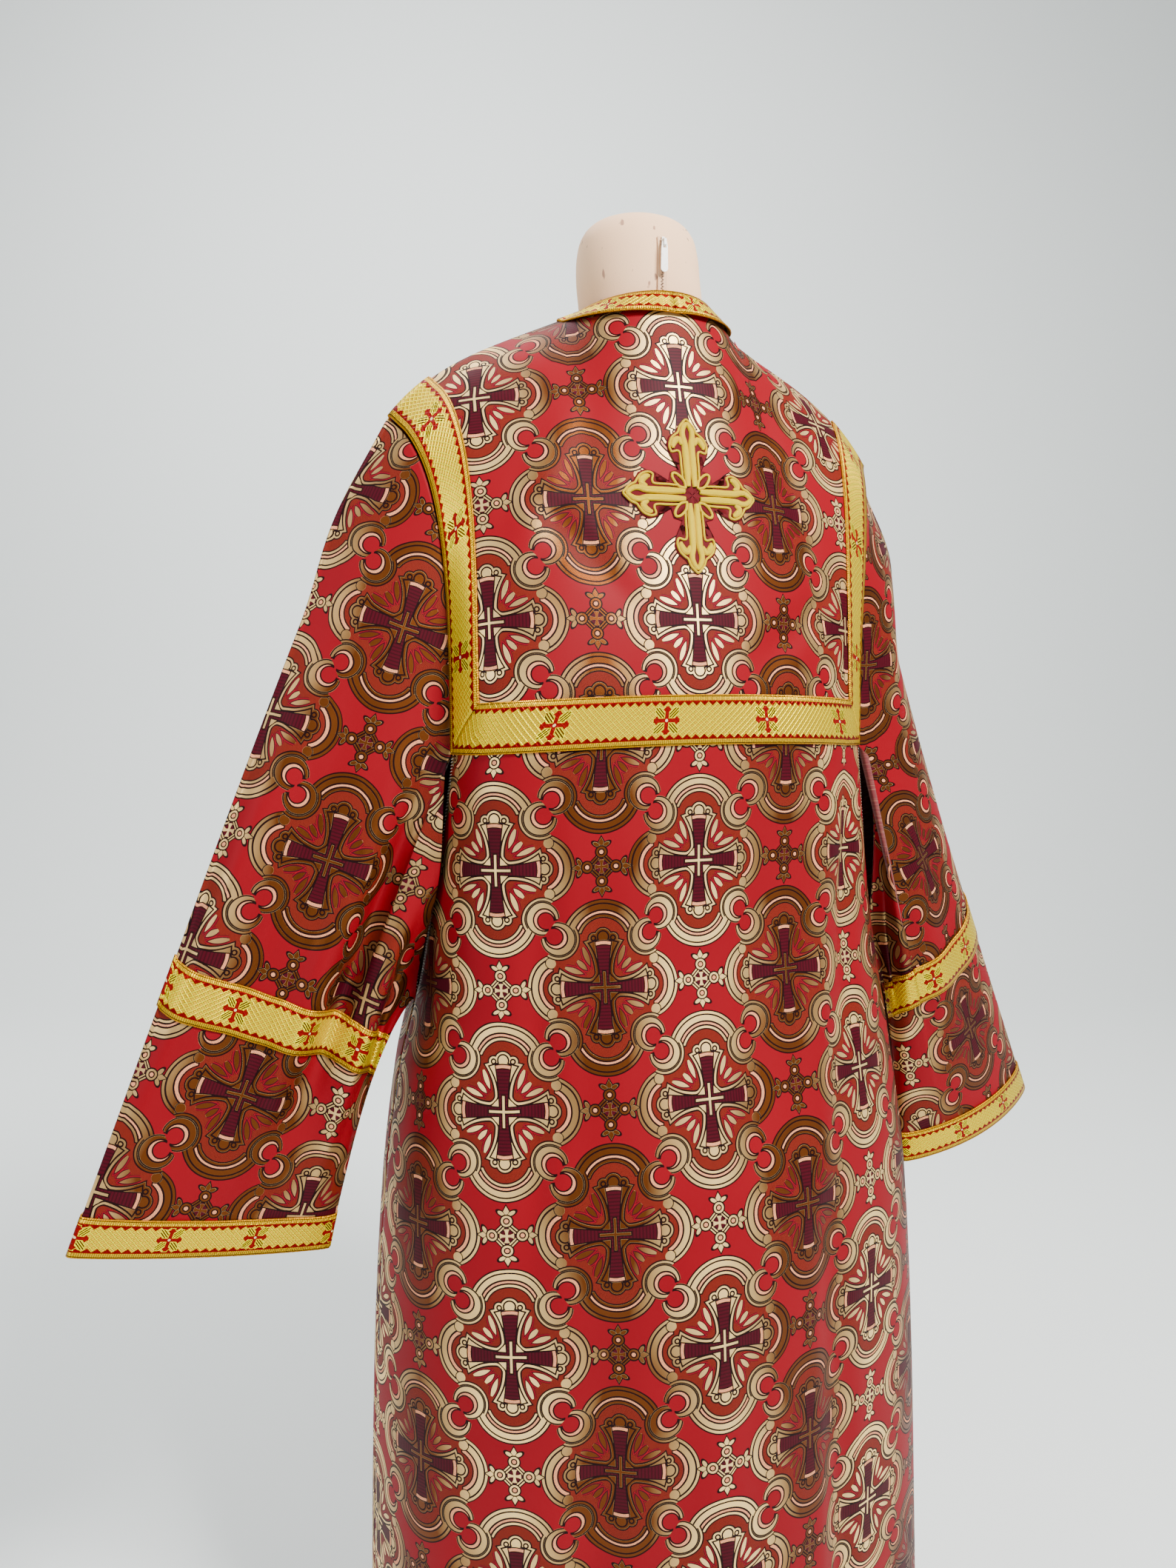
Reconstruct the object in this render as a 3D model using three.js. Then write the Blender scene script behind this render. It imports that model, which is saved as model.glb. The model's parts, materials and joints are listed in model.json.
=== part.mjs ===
// A sticharion of brocade and galloon, standing on a limbless dress form.
// Units are millimetres and +Z is up. The wearer faces -Y, and the wearer's left is +X.
// The origin is on the floor, under the middle of the whole object's box.
// Every cloth piece is a grid of points on the middle of the cloth, thickened both ways along its normals.
import * as THREE from 'three';

// ---- driving dimensions: cloth ------------------------------------------------------------------------
const BROCADE = 1.8; // thickness of the brocade with its backing
const GALLOON = 1.2; // thickness of the woven trim
const TRIM_GAP = 0.6; // between a panel and what is sewn on it
const HALF_SEAM = 0.5; // half of the gap between two sewn edges
const CREST_LIFT = 1.2; // how much higher trim rides where it is bent over the shoulder seam
const ROOT_GAP = 2.0; // from a panel's armhole edge to the sleeve's edge

const HEM_Z = 50;
const SLIT_BOTTOM_Z = 790; // the side seams are sewn below this height
const YOKE_Z = 1025; // lower edge of the galloon across the back and the chest, at the armholes
const YOKE_ARCH = 9; // how much higher it is in the middle
const YOKE_BAND = 45;
const COLLAR_BAND = 24;
const CUFF_BAND = 35;
const NECK_SIDE = 66; // half width of the neckline
const NECK_SIDE_Z = 1440;
const SHOULDER_HALF = 250; // the shoulder's end, at the armhole seam
const SHOULDER_DROP = { left: 110, right: 124 }; // from the neckline's side to the shoulder's end

// Each panel's neckline and armholes: depth and height of the neckline's middle, the collar's slope there,
// how steeply the cloth goes on, depth of the yoke's corners, and how far the chest leans in above them.
const FACES = {
  back: {
    sign: 1, neckDepth: 66, neckZ: 1448, collarSlope: 66, steepness: 85, armholeDepth: 66, chestLean: 6,
  },
  front: {
    sign: -1, neckDepth: 80, neckZ: 1414, collarSlope: 48, steepness: 62, armholeDepth: 58, chestLean: 2,
  },
};
const SIDE_SLOPE = 31; // the collar's slope at the sides of the neck, in degrees
const NECK_CORNER = 8; // how far from the shoulder seam, in degrees, its outer edge has its last point

// Sections of the body, from the hem up: half widths to both sides, depths to the back and the front,
// and how square the section is on each side (2 is an ellipse).
const BODY_SECTIONS = [
  { z: 50, left: 286, right: 306, back: 216, front: 196, squareLeft: 2.1, squareRight: 2.1 },
  { z: 400, left: 278, right: 297, back: 206, front: 184, squareLeft: 2.1, squareRight: 2.1 },
  { z: 600, left: 266, right: 286, back: 194, front: 168, squareLeft: 2.2, squareRight: 2.1 },
  { z: 720, left: 250, right: 272, back: 170, front: 152, squareLeft: 2.4, squareRight: 2.1 },
  { z: 790, left: 233, right: 261, back: 157, front: 144, squareLeft: 2.7, squareRight: 2.1 },
  { z: 860, left: 226, right: 250, back: 148, front: 138, squareLeft: 3.2, squareRight: 2.1 },
  { z: 950, left: 218, right: 240, back: 146, front: 134, squareLeft: 3.8, squareRight: 2.1 },
  { z: 1025, left: 213, right: 233, back: 146, front: 132, squareLeft: 4.2, squareRight: 2.1 },
  { z: 1080, left: 213, right: 233, back: 146, front: 132, squareLeft: 4.2, squareRight: 2.1 },
];

// Soft flutes of the skirt: direction round the body from the wearer's left, width, and depth at the hem.
const SKIRT_FLUTES = [
  { angle: 24, width: 20, depth: 11 },
  { angle: 58, width: 17, depth: -9 },
  { angle: 98, width: 26, depth: 8 },
  { angle: 133, width: 16, depth: -10 },
  { angle: 160, width: 18, depth: 10 },
  { angle: 205, width: 20, depth: 12 },
  { angle: 236, width: 16, depth: -12 },
  { angle: 268, width: 24, depth: 14 },
  { angle: 303, width: 16, depth: -12 },
  { angle: 335, width: 20, depth: 12 },
];
const FLUTE_TOP_Z = 960;

// Sleeves: both corners of the cuff, how far the outer line bows outward below the shoulder and lower down,
// how far the inner line hangs out, how deep the cuff is behind and before the line through its corners,
// and how far the open underarm edge stands off the body.
const SLEEVES = {
  left: {
    sign: 1, outer: [545, 55, 607], inner: [324, 12, 557], capBow: 7, crestBow: 8, innerBow: 14,
    cuffBack: 9, cuffFront: 54, slitGap: 9,
  },
  right: {
    sign: -1, outer: [525, -40, 592], inner: [318, 6, 546], capBow: 22, crestBow: -22, innerBow: 12,
    cuffBack: 34, cuffFront: 32, slitGap: 20,
  },
};
const CAP_PLACE = 0.13; // how far down the sleeve it bulges over the shoulder's end
const BOW_SKEW = 0.6; // puts the widest point of the bow nearer to the shoulder
const ARMBAND = { lowOuter: 222, lowInner: 172, highOuter: 268, highInner: 212 }; // distances from the cuff
const SLEEVE_FOLDS = [
  { side: 'left', face: 1, around: 0.16, width: 0.09, depth: -15, from: 0.0, to: 0.62 },
  { side: 'left', face: 1, around: 0.34, width: 0.10, depth: 9, from: 0.05, to: 0.9 },
  { side: 'left', face: 1, around: 0.62, width: 0.16, depth: 8, from: 0.1, to: 1.0 },
  { side: 'left', face: -1, around: 0.2, width: 0.1, depth: 10, from: 0.05, to: 0.8 },
  { side: 'left', face: -1, around: 0.5, width: 0.14, depth: -9, from: 0.1, to: 0.95 },
  { side: 'right', face: 1, around: 0.2, width: 0.1, depth: -10, from: 0.05, to: 0.6 },
  { side: 'right', face: 1, around: 0.48, width: 0.14, depth: 9, from: 0.1, to: 0.95 },
  { side: 'right', face: -1, around: 0.25, width: 0.12, depth: 10, from: 0.05, to: 0.85 },
  { side: 'right', face: -1, around: 0.6, width: 0.14, depth: -8, from: 0.1, to: 0.95 },
];

// Embroidered cross: half widths of one arm at distances from its middle.
const CROSS_CENTRE = { x: 1.5, z: 1256 };
const CROSS_THICKNESS = 1.6;
const CROSS_GAP = 1.6;
const CROSS_ARM = [
  { along: 8, half: 8 },
  { along: 22, half: 7 },
  { along: 34, half: 8 },
  { along: 43, half: 9 },
  { along: 49, half: 21 },
  { along: 56, half: 19 },
  { along: 60, half: 8 },
  { along: 65, half: 5 },
];
const CROSS_STRETCH = 1.06; // the upright is a little longer than the crossbar

// ---- driving dimensions: dress form ---------------------------------------------------------------------
// Sections of the form from its underside up: half width, depths behind and before the middle line, and how
// far the neck leans to the wearer's left.
const FORM_SECTIONS = [
  { z: 702, half: 150, back: 96, front: 84, lean: 0 },
  { z: 716, half: 172, back: 116, front: 100, lean: 0 },
  { z: 780, half: 177, back: 118, front: 104, lean: 0 },
  { z: 860, half: 160, back: 104, front: 98, lean: 0 },
  { z: 930, half: 146, back: 92, front: 92, lean: 0 },
  { z: 1000, half: 155, back: 98, front: 98, lean: 0 },
  { z: 1100, half: 166, back: 104, front: 104, lean: 0 },
  { z: 1180, half: 168, back: 98, front: 100, lean: 0 },
  { z: 1240, half: 168, back: 88, front: 90, lean: 0 },
  { z: 1290, half: 164, back: 76, front: 76, lean: 0 },
  { z: 1330, half: 150, back: 66, front: 64, lean: 0 },
  { z: 1360, half: 126, back: 58, front: 56, lean: 0 },
  { z: 1385, half: 96, back: 56, front: 55, lean: 0 },
  { z: 1405, half: 74, back: 57, front: 57, lean: 1 },
  { z: 1425, half: 60, back: 58, front: 60, lean: 3 },
  { z: 1445, half: 57.5, back: 58, front: 59, lean: 5.5 },
  { z: 1475, half: 59.5, back: 58.5, front: 58, lean: 7 },
  { z: 1500, half: 57, back: 56, front: 56, lean: 7 },
  { z: 1517, half: 50, back: 49, front: 49, lean: 7 },
  { z: 1528, half: 36, back: 35, front: 35, lean: 7 },
  { z: 1532.5, half: 18, back: 17, front: 17, lean: 7 },
];
const FORM_TOP_Z = 1534;
const FORM_SIDES = 32;
const POLE_RADIUS = 14;
const BASE_RADIUS = 175;
const BASE_HEIGHT = 24;
const PART_GAP = 0.3;

const ZIP = { x: 6, bottom: 1427, top: 1500, tape: 9, thickness: 0.8 };
const SLIDER = { z: 1493, width: 8, height: 11, thickness: 2.2 };
const BRIDGE = { width: 2.4, height: 7, depth: 4.6, wall: 1.1 };
const PULL = { length: 27, width: 7, tip: 4.4, thickness: 1.2, bar: 1.3, eye: 4.4 };

// ---- small helpers --------------------------------------------------------------------------------------
const vec = (x, y, z) => new THREE.Vector3(x, y, z);
const lerp = THREE.MathUtils.lerp;
const clamp = THREE.MathUtils.clamp;
const radians = THREE.MathUtils.degToRad;

// A smooth bump: 1 in the middle, 0 from one width away.
function bump(distance, width) {
  const share = clamp(Math.abs(distance) / width, 0, 1);
  return 0.5 + 0.5 * Math.cos(Math.PI * share);
}

// Reads a column of a table between its rows, with a smooth curve through them.
function readTable(rows, z, column) {
  const last = rows.length - 1;
  let k = 0;
  while (k < last - 1 && z > rows[k + 1].z) k += 1;
  const slope = (i) => {
    const low = rows[Math.max(i - 1, 0)];
    const high = rows[Math.min(i + 1, last)];
    return (high[column] - low[column]) / (high.z - low.z);
  };
  const span = rows[k + 1].z - rows[k].z;
  const t = clamp((z - rows[k].z) / span, 0, 1);
  const rise = rows[k + 1][column] - rows[k][column];
  const inward = t * (1 - t) * ((1 - t) * (slope(k) * span - rise) - t * (slope(k + 1) * span - rise));
  return rows[k][column] + t * rise + inward;
}

// ---- closed shells from faces ---------------------------------------------------------------------------
// A vertex is a point with its normal. Faces are lists of vertices; a vertex repeated in one is dropped.
function closedShell(faces, near, far) {
  const ids = new Map();
  const vertices = [];
  const idOf = (vertex) => {
    if (!ids.has(vertex)) {
      ids.set(vertex, vertices.length);
      vertices.push(vertex);
    }
    return ids.get(vertex);
  };
  const triangles = [];
  for (const face of faces) {
    const loop = [...new Set(face)].map(idOf);
    for (let k = 1; k < loop.length - 1; k += 1) triangles.push([loop[0], loop[k], loop[k + 1]]);
  }
  const count = vertices.length;
  const edges = new Set(triangles.flatMap(([a, b, c]) => [`${a},${b}`, `${b},${c}`, `${c},${a}`]));
  const index = [];
  for (const [a, b, c] of triangles) index.push(a + count, b + count, c + count, c, b, a);
  for (const edge of edges) {
    const [a, b] = edge.split(',').map(Number);
    if (!edges.has(`${b},${a}`)) index.push(a, b, b + count, a, b + count, a + count);
  }
  const inner = vertices.map((v) => v.point.clone().addScaledVector(v.normal, near));
  const outer = vertices.map((v) => v.point.clone().addScaledVector(v.normal, far));
  return solidFrom([...inner, ...outer], index);
}

// Makes a geometry whose faces point out, whichever way its triangles were listed.
function solidFrom(points, index) {
  let volume = 0;
  for (let k = 0; k < index.length; k += 3) {
    const [a, b, c] = [points[index[k]], points[index[k + 1]], points[index[k + 2]]];
    volume += a.dot(b.clone().cross(c));
  }
  const order = volume < 0 ? index.slice().reverse() : index;
  const geometry = new THREE.BufferGeometry();
  const numbers = points.flatMap((p) => p.toArray());
  geometry.setAttribute('position', new THREE.Float32BufferAttribute(numbers, 3));
  geometry.setIndex(order);
  return geometry;
}

// Gives each point of a grid its normal, from its neighbours. Outward is set by the sign.
function gridOf(points, sign) {
  const lastRow = points.length - 1;
  const lastColumn = points[0].length - 1;
  return points.map((row, i) => row.map((point, j) => {
    const up = points[Math.min(i + 1, lastRow)][j].clone().sub(points[Math.max(i - 1, 0)][j]);
    const across = row[Math.min(j + 1, lastColumn)].clone().sub(row[Math.max(j - 1, 0)]);
    return { point, normal: across.cross(up).multiplyScalar(sign).normalize() };
  }));
}

// ---- body panels ----------------------------------------------------------------------------------------
// How far the skirt stands out or in at an angle round the body, in degrees from the wearer's left.
function flute(angle, z) {
  const fall = clamp((FLUTE_TOP_Z - z) / (FLUTE_TOP_Z - HEM_Z), 0, 1) ** 1.3;
  let offset = 0;
  for (const fold of SKIRT_FLUTES) {
    const away = ((angle - fold.angle + 540) % 360) - 180;
    offset += fold.depth * bump(away, fold.width);
  }
  return offset * fall;
}

// The point of the body at a height and an angle round it, moved out by a distance.
function bodyPoint(angle, z, out = 0) {
  const turn = radians(angle);
  const [c, s] = [Math.cos(turn), Math.sin(turn)];
  const half = readTable(BODY_SECTIONS, z, c > 0 ? 'left' : 'right');
  const depth = readTable(BODY_SECTIONS, z, s > 0 ? 'back' : 'front');
  const square = readTable(BODY_SECTIONS, z, c > 0 ? 'squareLeft' : 'squareRight');
  const reach = ((Math.abs(c) / half) ** square + (Math.abs(s) / depth) ** square) ** (-1 / square);
  const radius = reach + flute(angle, z) + out;
  return vec(radius * c, radius * s, z);
}

// The angle, above the side line, of a panel's edge: 0 where the side seams are sewn, more at the armhole.
function edgeAngle(z, face, side) {
  const open = clamp((z - SLIT_BOTTOM_Z) / (YOKE_Z - SLIT_BOTTOM_Z), 0, 1);
  const armhole = THREE.MathUtils.radToDeg(Math.atan2(face.armholeDepth, side > 0 ? 209 : 207));
  return armhole * open ** 0.8;
}

// Columns of a panel from its middle to its edge, as shares of the way along the cloth of the chest.
const NECK_COLUMNS = 4; // the columns that end on the neckline, besides the middle one
const EDGE_COLUMN = 9;
const TRIM_COLUMN = EDGE_COLUMN - 1; // the inner edge of the shoulder bands
const SEAM_X = [NECK_SIDE, 88, 124, 166, SHOULDER_HALF - 38, SHOULDER_HALF]; // from the neckline's side on
const LOWER_Z = [HEM_Z, 130, 240, 350, 460, 560, 640, 700, 750, SLIT_BOTTOM_Z, 835, 880, 930, 980, YOKE_Z];
const UPPER_SHARES = [0.17, 0.34, 0.51, 0.68, 0.84];
const SLIT_ROW = LOWER_Z.indexOf(SLIT_BOTTOM_Z);
const YOKE_ROW = LOWER_Z.length - 1;
const TOP_ROW = YOKE_ROW + 1 + UPPER_SHARES.length + 2;

// Angles round the body of a row's points, evenly spread along the cloth as the columns ask.
function rowAngles(z, face, side) {
  const edge = edgeAngle(z, face, side);
  const steps = 60;
  const angles = Array.from({ length: steps + 1 }, (_, k) => lerp(90, edge, k / steps));
  const at = (angle) => bodyPoint(face.sign * (side > 0 ? angle : 180 - angle), z);
  const lengths = [0];
  for (let k = 1; k <= steps; k += 1) {
    lengths.push(lengths[k - 1] + at(angles[k]).distanceTo(at(angles[k - 1])));
  }
  const trim = 1 - YOKE_BAND / lengths[steps];
  return Array.from({ length: EDGE_COLUMN + 1 }, (_, j) => {
    const share = j === EDGE_COLUMN ? 1 : (trim * j) / TRIM_COLUMN;
    const target = share * lengths[steps];
    let k = 1;
    while (k < steps && lengths[k] < target) k += 1;
    const t = (target - lengths[k - 1]) / (lengths[k] - lengths[k - 1]);
    return lerp(angles[k - 1], angles[k], t);
  });
}

// A column's last two points, on the neckline or the shoulder seam and a collar's width below it, and which
// way the cloth goes on from there.
function columnTop(column, face, side) {
  if (column <= NECK_COLUMNS) {
    const share = column / NECK_COLUMNS;
    const angle = radians(90 * (1 - share));
    const heading = Math.max(angle, radians(NECK_CORNER));
    const slope = radians(lerp(face.collarSlope, SIDE_SLOPE, share));
    const top = vec(
      side * NECK_SIDE * Math.cos(angle),
      face.sign * Math.max(face.neckDepth * Math.sin(angle), HALF_SEAM),
      lerp(NECK_SIDE_Z, face.neckZ, Math.sin(angle) ** 2),
    );
    const away = vec(
      side * Math.cos(heading) * Math.cos(slope),
      face.sign * Math.sin(heading) * Math.cos(slope),
      -Math.sin(slope),
    );
    const leave = vec(
      side * 10 * share,
      face.sign * lerp(22, 76, share ** 2),
      -lerp(face.steepness, 36, share ** 0.7),
    );
    return { top, low: top.clone().addScaledVector(away, COLLAR_BAND), leave };
  }
  const drop = side > 0 ? SHOULDER_DROP.left : SHOULDER_DROP.right;
  const x = SEAM_X[column - NECK_COLUMNS];
  const share = (x - NECK_SIDE) / (SHOULDER_HALF - NECK_SIDE);
  const z = NECK_SIDE_Z - drop * (0.72 * share + 0.28 * share ** 5);
  const top = vec(side * x, face.sign * HALF_SEAM, z);
  const leave = vec(
    side * lerp(12, -28, share),
    face.sign * lerp(56, face.armholeDepth - 6, share),
    -lerp(34, 54, share),
  );
  const away = vec(side * lerp(2, -11, share), face.sign * 21, -lerp(8, 17, share)).setLength(COLLAR_BAND);
  return { top, low: top.clone().add(away), leave };
}

// Points of a panel, by row from the hem up and by column from the wearer's right to the left.
function panelPoints(face) {
  const halves = [-1, 1].map((side) => {
    const lower = LOWER_Z.map((z) => rowAngles(z, face, side).map((angle, j) => {
      const turn = face.sign * (side > 0 ? angle : 180 - angle);
      const point = bodyPoint(turn, z);
      const arch = bump(z - YOKE_Z, 260) * YOKE_ARCH * (1 - (j / EDGE_COLUMN) ** 2);
      point.z += arch;
      if (j === EDGE_COLUMN) point.y = face.sign * Math.max(Math.abs(point.y), HALF_SEAM);
      return point;
    }));
    const chest = lower[YOKE_ROW];
    const yokeTop = chest.map((p) => p.clone().add(vec(0, 0, YOKE_BAND)));
    const upper = Array.from({ length: UPPER_SHARES.length + 2 }, () => []);
    for (let j = 0; j <= EDGE_COLUMN; j += 1) {
      const { top, low, leave } = columnTop(j, face, side);
      const rise = (low.z - yokeTop[j].z) * 0.27;
      const path = new THREE.CubicBezierCurve3(
        yokeTop[j],
        yokeTop[j].clone().add(vec(0, -face.sign * face.chestLean, rise)),
        low.clone().add(leave),
        low,
      );
      UPPER_SHARES.forEach((share, k) => upper[k].push(path.getPoint(share)));
      upper[UPPER_SHARES.length].push(low);
      upper[UPPER_SHARES.length + 1].push(top);
    }
    return [...lower, yokeTop, ...upper];
  });
  return halves[0].map((row, i) => [...row.slice(1).reverse(), ...halves[1][i]]);
}

const panels = {
  back: gridOf(panelPoints(FACES.back), -1),
  front: gridOf(panelPoints(FACES.front), 1),
};

// Where two edges are sewn, both pieces share one normal, so that their walls stay parallel there.
function shareNormal(a, b) {
  a.normal.add(b.normal).normalize();
  b.normal.copy(a.normal);
}
for (let j = 0; j <= 2 * EDGE_COLUMN; j += 1) {
  const onShoulder = Math.abs(j - EDGE_COLUMN) >= NECK_COLUMNS;
  if (onShoulder) shareNormal(panels.back[TOP_ROW][j], panels.front[TOP_ROW][j]);
}
for (let i = 0; i <= SLIT_ROW; i += 1) {
  for (const j of [0, 2 * EDGE_COLUMN]) shareNormal(panels.back[i][j], panels.front[i][j]);
}

// Turns a face over, and keeps the corner from which it is cut into triangles.
const flipped = ([first, ...others]) => [first, ...others.reverse()];

// A panel's vertex by row and signed column, and one cell's corners, cut along the same diagonal
// everywhere: from the inner upper corner to the outer lower one, except next to the neckline's sides.
const panelVertex = (face, i, j) => panels[face][i][j + EDGE_COLUMN];
function panelCell(face, i, j, vertexOf = panelVertex) {
  const [inner, outer] = j >= 0 ? [j, j + 1] : [j + 1, j];
  const corners = [
    vertexOf(face, i + 1, inner),
    vertexOf(face, i, inner),
    vertexOf(face, i, outer),
    vertexOf(face, i + 1, outer),
  ];
  const besideNeck = i === TOP_ROW - 1 && Math.abs(inner) === NECK_COLUMNS;
  if (besideNeck) corners.push(corners.shift());
  return (j < 0) === (face === 'front') ? corners : flipped(corners);
}

function panelGeometry(face) {
  const faces = [];
  for (let i = 0; i < TOP_ROW; i += 1) {
    for (let j = -EDGE_COLUMN; j < EDGE_COLUMN; j += 1) faces.push(panelCell(face, i, j));
  }
  return closedShell(faces, -BROCADE / 2, BROCADE / 2);
}

// ---- trim on the panels ---------------------------------------------------------------------------------
// On the shoulder seam, trim crosses from one panel to the other at one shared vertex for each column.
const crossings = new Map();
function trimVertex(face, i, j) {
  const onSeam = i === TOP_ROW && Math.abs(j) >= NECK_COLUMNS;
  if (!onSeam) return panelVertex(face, i, j);
  if (!crossings.has(j)) {
    const [back, front] = [panelVertex('back', i, j), panelVertex('front', i, j)];
    const point = back.point.clone().add(front.point).multiplyScalar(0.5);
    crossings.set(j, { point: point.addScaledVector(back.normal, CREST_LIFT), normal: back.normal });
  }
  return crossings.get(j);
}

// A vertex moved a little way towards another one, to leave a gap at a mitre.
function nudged(vertex, towards, distance) {
  const step = towards.point.clone().sub(vertex.point).setLength(distance);
  return { point: vertex.point.clone().add(step), normal: vertex.normal };
}

const trimShell = (faces) => closedShell(faces, BROCADE / 2 + TRIM_GAP, BROCADE / 2 + TRIM_GAP + GALLOON);

// The galloon across a panel ends in a mitre at each armhole.
function yokeBand(face) {
  const faces = [];
  for (let j = -TRIM_COLUMN; j < TRIM_COLUMN; j += 1) faces.push(panelCell(face, YOKE_ROW, j));
  const moved = new Map();
  for (const side of [-1, 1]) {
    const innerTop = panelVertex(face, YOKE_ROW + 1, side * TRIM_COLUMN);
    const innerLow = panelVertex(face, YOKE_ROW, side * TRIM_COLUMN);
    const outerLow = panelVertex(face, YOKE_ROW, side * EDGE_COLUMN);
    moved.set(innerTop, nudged(innerTop, innerLow, 2 * HALF_SEAM));
    const corner = nudged(outerLow, innerLow, 2 * HALF_SEAM);
    const triangle = [innerTop, innerLow, corner];
    faces.push((side < 0) === (face === 'front') ? triangle : flipped(triangle));
  }
  return trimShell(faces.map((corners) => corners.map((vertex) => moved.get(vertex) ?? vertex)));
}

// The galloon over an armhole seam runs from the back mitre over the shoulder to the front mitre.
function shoulderBand(side) {
  const faces = [];
  for (const face of ['back', 'front']) {
    const corner = [
      trimVertex(face, YOKE_ROW + 1, side * TRIM_COLUMN),
      trimVertex(face, YOKE_ROW, side * EDGE_COLUMN),
      trimVertex(face, YOKE_ROW + 1, side * EDGE_COLUMN),
    ];
    faces.push((side < 0) === (face === 'front') ? corner : flipped(corner));
    const column = side > 0 ? TRIM_COLUMN : -EDGE_COLUMN;
    for (let i = YOKE_ROW + 1; i < TOP_ROW; i += 1) faces.push(panelCell(face, i, column, trimVertex));
  }
  return trimShell(faces);
}

// The collar's galloon is one ring round the neckline.
function collarBand() {
  const faces = [];
  for (const face of ['back', 'front']) {
    for (let j = -NECK_COLUMNS; j < NECK_COLUMNS; j += 1) {
      faces.push(panelCell(face, TOP_ROW - 1, j, trimVertex));
    }
    for (const side of [-1, 1]) {
      const triangle = [
        trimVertex(face, TOP_ROW, side * NECK_COLUMNS),
        trimVertex(face, TOP_ROW - 1, side * NECK_COLUMNS),
        trimVertex(face, TOP_ROW, side * (NECK_COLUMNS + 1)),
      ];
      faces.push((side < 0) === (face === 'front') ? triangle : flipped(triangle));
    }
  }
  return trimShell(faces);
}

// ---- sleeves --------------------------------------------------------------------------------------------
const SLEEVE_SHARES = [0, 0.06, 0.14, 0.26, 0.4, 0.55, 0.7, 0.85]; // rows from the armhole to the armband
const SLEEVE_ROWS = SLEEVE_SHARES.length;
const ARMBAND_ROW = SLEEVE_ROWS; // the armband is between this row and the next
const CUFF_SHARES = [0.33, 0.67]; // rows between the armband and the cuff's galloon

// The root of a sleeve, round the armhole: from underarm up the back, over the shoulder and down the front.
function sleeveRoot(side) {
  const { sign, slitGap } = SLEEVES[side];
  const climb = (name) => {
    const face = FACES[name];
    return Array.from({ length: TOP_ROW - SLIT_ROW }, (_, k) => {
      const i = SLIT_ROW + k;
      const edge = panelVertex(name, i, sign * EDGE_COLUMN);
      const inside = panelVertex(name, i, sign * TRIM_COLUMN);
      const onward = edge.point.clone().sub(inside.point).normalize();
      const point = edge.point.clone().addScaledVector(onward, ROOT_GAP);
      if (i < YOKE_ROW) {
        const z = LOWER_Z[i];
        const angle = Math.max(edgeAngle(z, face, sign), 3.2);
        const turn = face.sign * (sign > 0 ? angle : 180 - angle);
        const stand = ROOT_GAP + 3 + slitGap * bump(z - YOKE_Z + 75, 190);
        point.copy(bodyPoint(turn, z, stand));
      }
      return point;
    });
  };
  const crest = panelVertex('back', TOP_ROW, sign * EDGE_COLUMN).point.clone();
  crest.add(vec(sign * ROOT_GAP, -HALF_SEAM, -1));
  return [...climb('back'), crest, ...climb('front').reverse()];
}

// The cuff's edge, matched to the root's points by their share of the way round.
function sleeveCuff(side, shares) {
  const { sign, outer, inner, cuffBack, cuffFront } = SLEEVES[side];
  const outerPoint = vec(sign * outer[0], outer[1], outer[2]);
  const innerPoint = vec(sign * inner[0], inner[1], inner[2]);
  return shares.map((share) => {
    const turn = Math.PI * (2 * share);
    const along = 0.5 - 0.5 * Math.cos(turn);
    const point = innerPoint.clone().lerp(outerPoint, along);
    const depth = turn < Math.PI ? cuffBack : cuffFront;
    point.y += depth * Math.sin(turn) * (1 - 0.35 * Math.cos(turn) ** 2);
    return point;
  });
}

// The folds of a sleeve at a place round it and down it, as a move towards the back or the front.
function sleeveFold(side, share, down) {
  const face = share < 0.5 ? 1 : -1;
  const around = 1 - Math.abs(2 * share - 1); // 0 at the underarm, 1 at the outer line
  let offset = 0;
  for (const fold of SLEEVE_FOLDS) {
    if (fold.side !== side || fold.face !== face) continue;
    const middle = (fold.from + fold.to) / 2;
    const reach = (fold.to - fold.from) / 2;
    offset += fold.depth * bump(around - fold.around, fold.width) * bump(down - middle, reach);
  }
  return face * offset;
}

function sleeveGrid(side) {
  const { sign, capBow, crestBow, innerBow } = SLEEVES[side];
  const root = sleeveRoot(side);
  const count = root.length - 1;
  const shares = root.map((_, k) => k / count);
  const cuff = sleeveCuff(side, shares);
  const rows = Array.from({ length: SLEEVE_ROWS + 2 + CUFF_SHARES.length + 2 }, () => []);
  root.forEach((start, k) => {
    const end = cuff[k];
    const length = start.distanceTo(end);
    const share = shares[k];
    const outward = 1 - Math.abs(2 * share - 1);
    const high = lerp(ARMBAND.highInner, ARMBAND.highOuter, outward);
    const low = lerp(ARMBAND.lowInner, ARMBAND.lowOuter, outward);
    const downs = [
      ...SLEEVE_SHARES.map((part) => part * (1 - high / length)),
      1 - high / length,
      1 - low / length,
      ...CUFF_SHARES.map((part) => 1 - lerp(low, CUFF_BAND, part) / length),
      1 - CUFF_BAND / length,
      1,
    ];
    downs.forEach((down, i) => {
      const point = start.clone().lerp(end, down);
      const bow = Math.sin(Math.PI * down ** BOW_SKEW);
      const crest = crestBow * bow + capBow * bump(down - CAP_PLACE, CAP_PLACE);
      point.x += sign * (crest * bump(1 - outward, 0.45) + innerBow * bow * bump(outward, 0.4));
      point.y += sleeveFold(side, share, down);
      if (k === 0) point.y += HALF_SEAM;
      if (k === count) point.y -= HALF_SEAM;
      rows[i].push(point);
    });
  });
  return gridOf(rows, sign);
}

const sleeves = { left: sleeveGrid('left'), right: sleeveGrid('right') };

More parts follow.
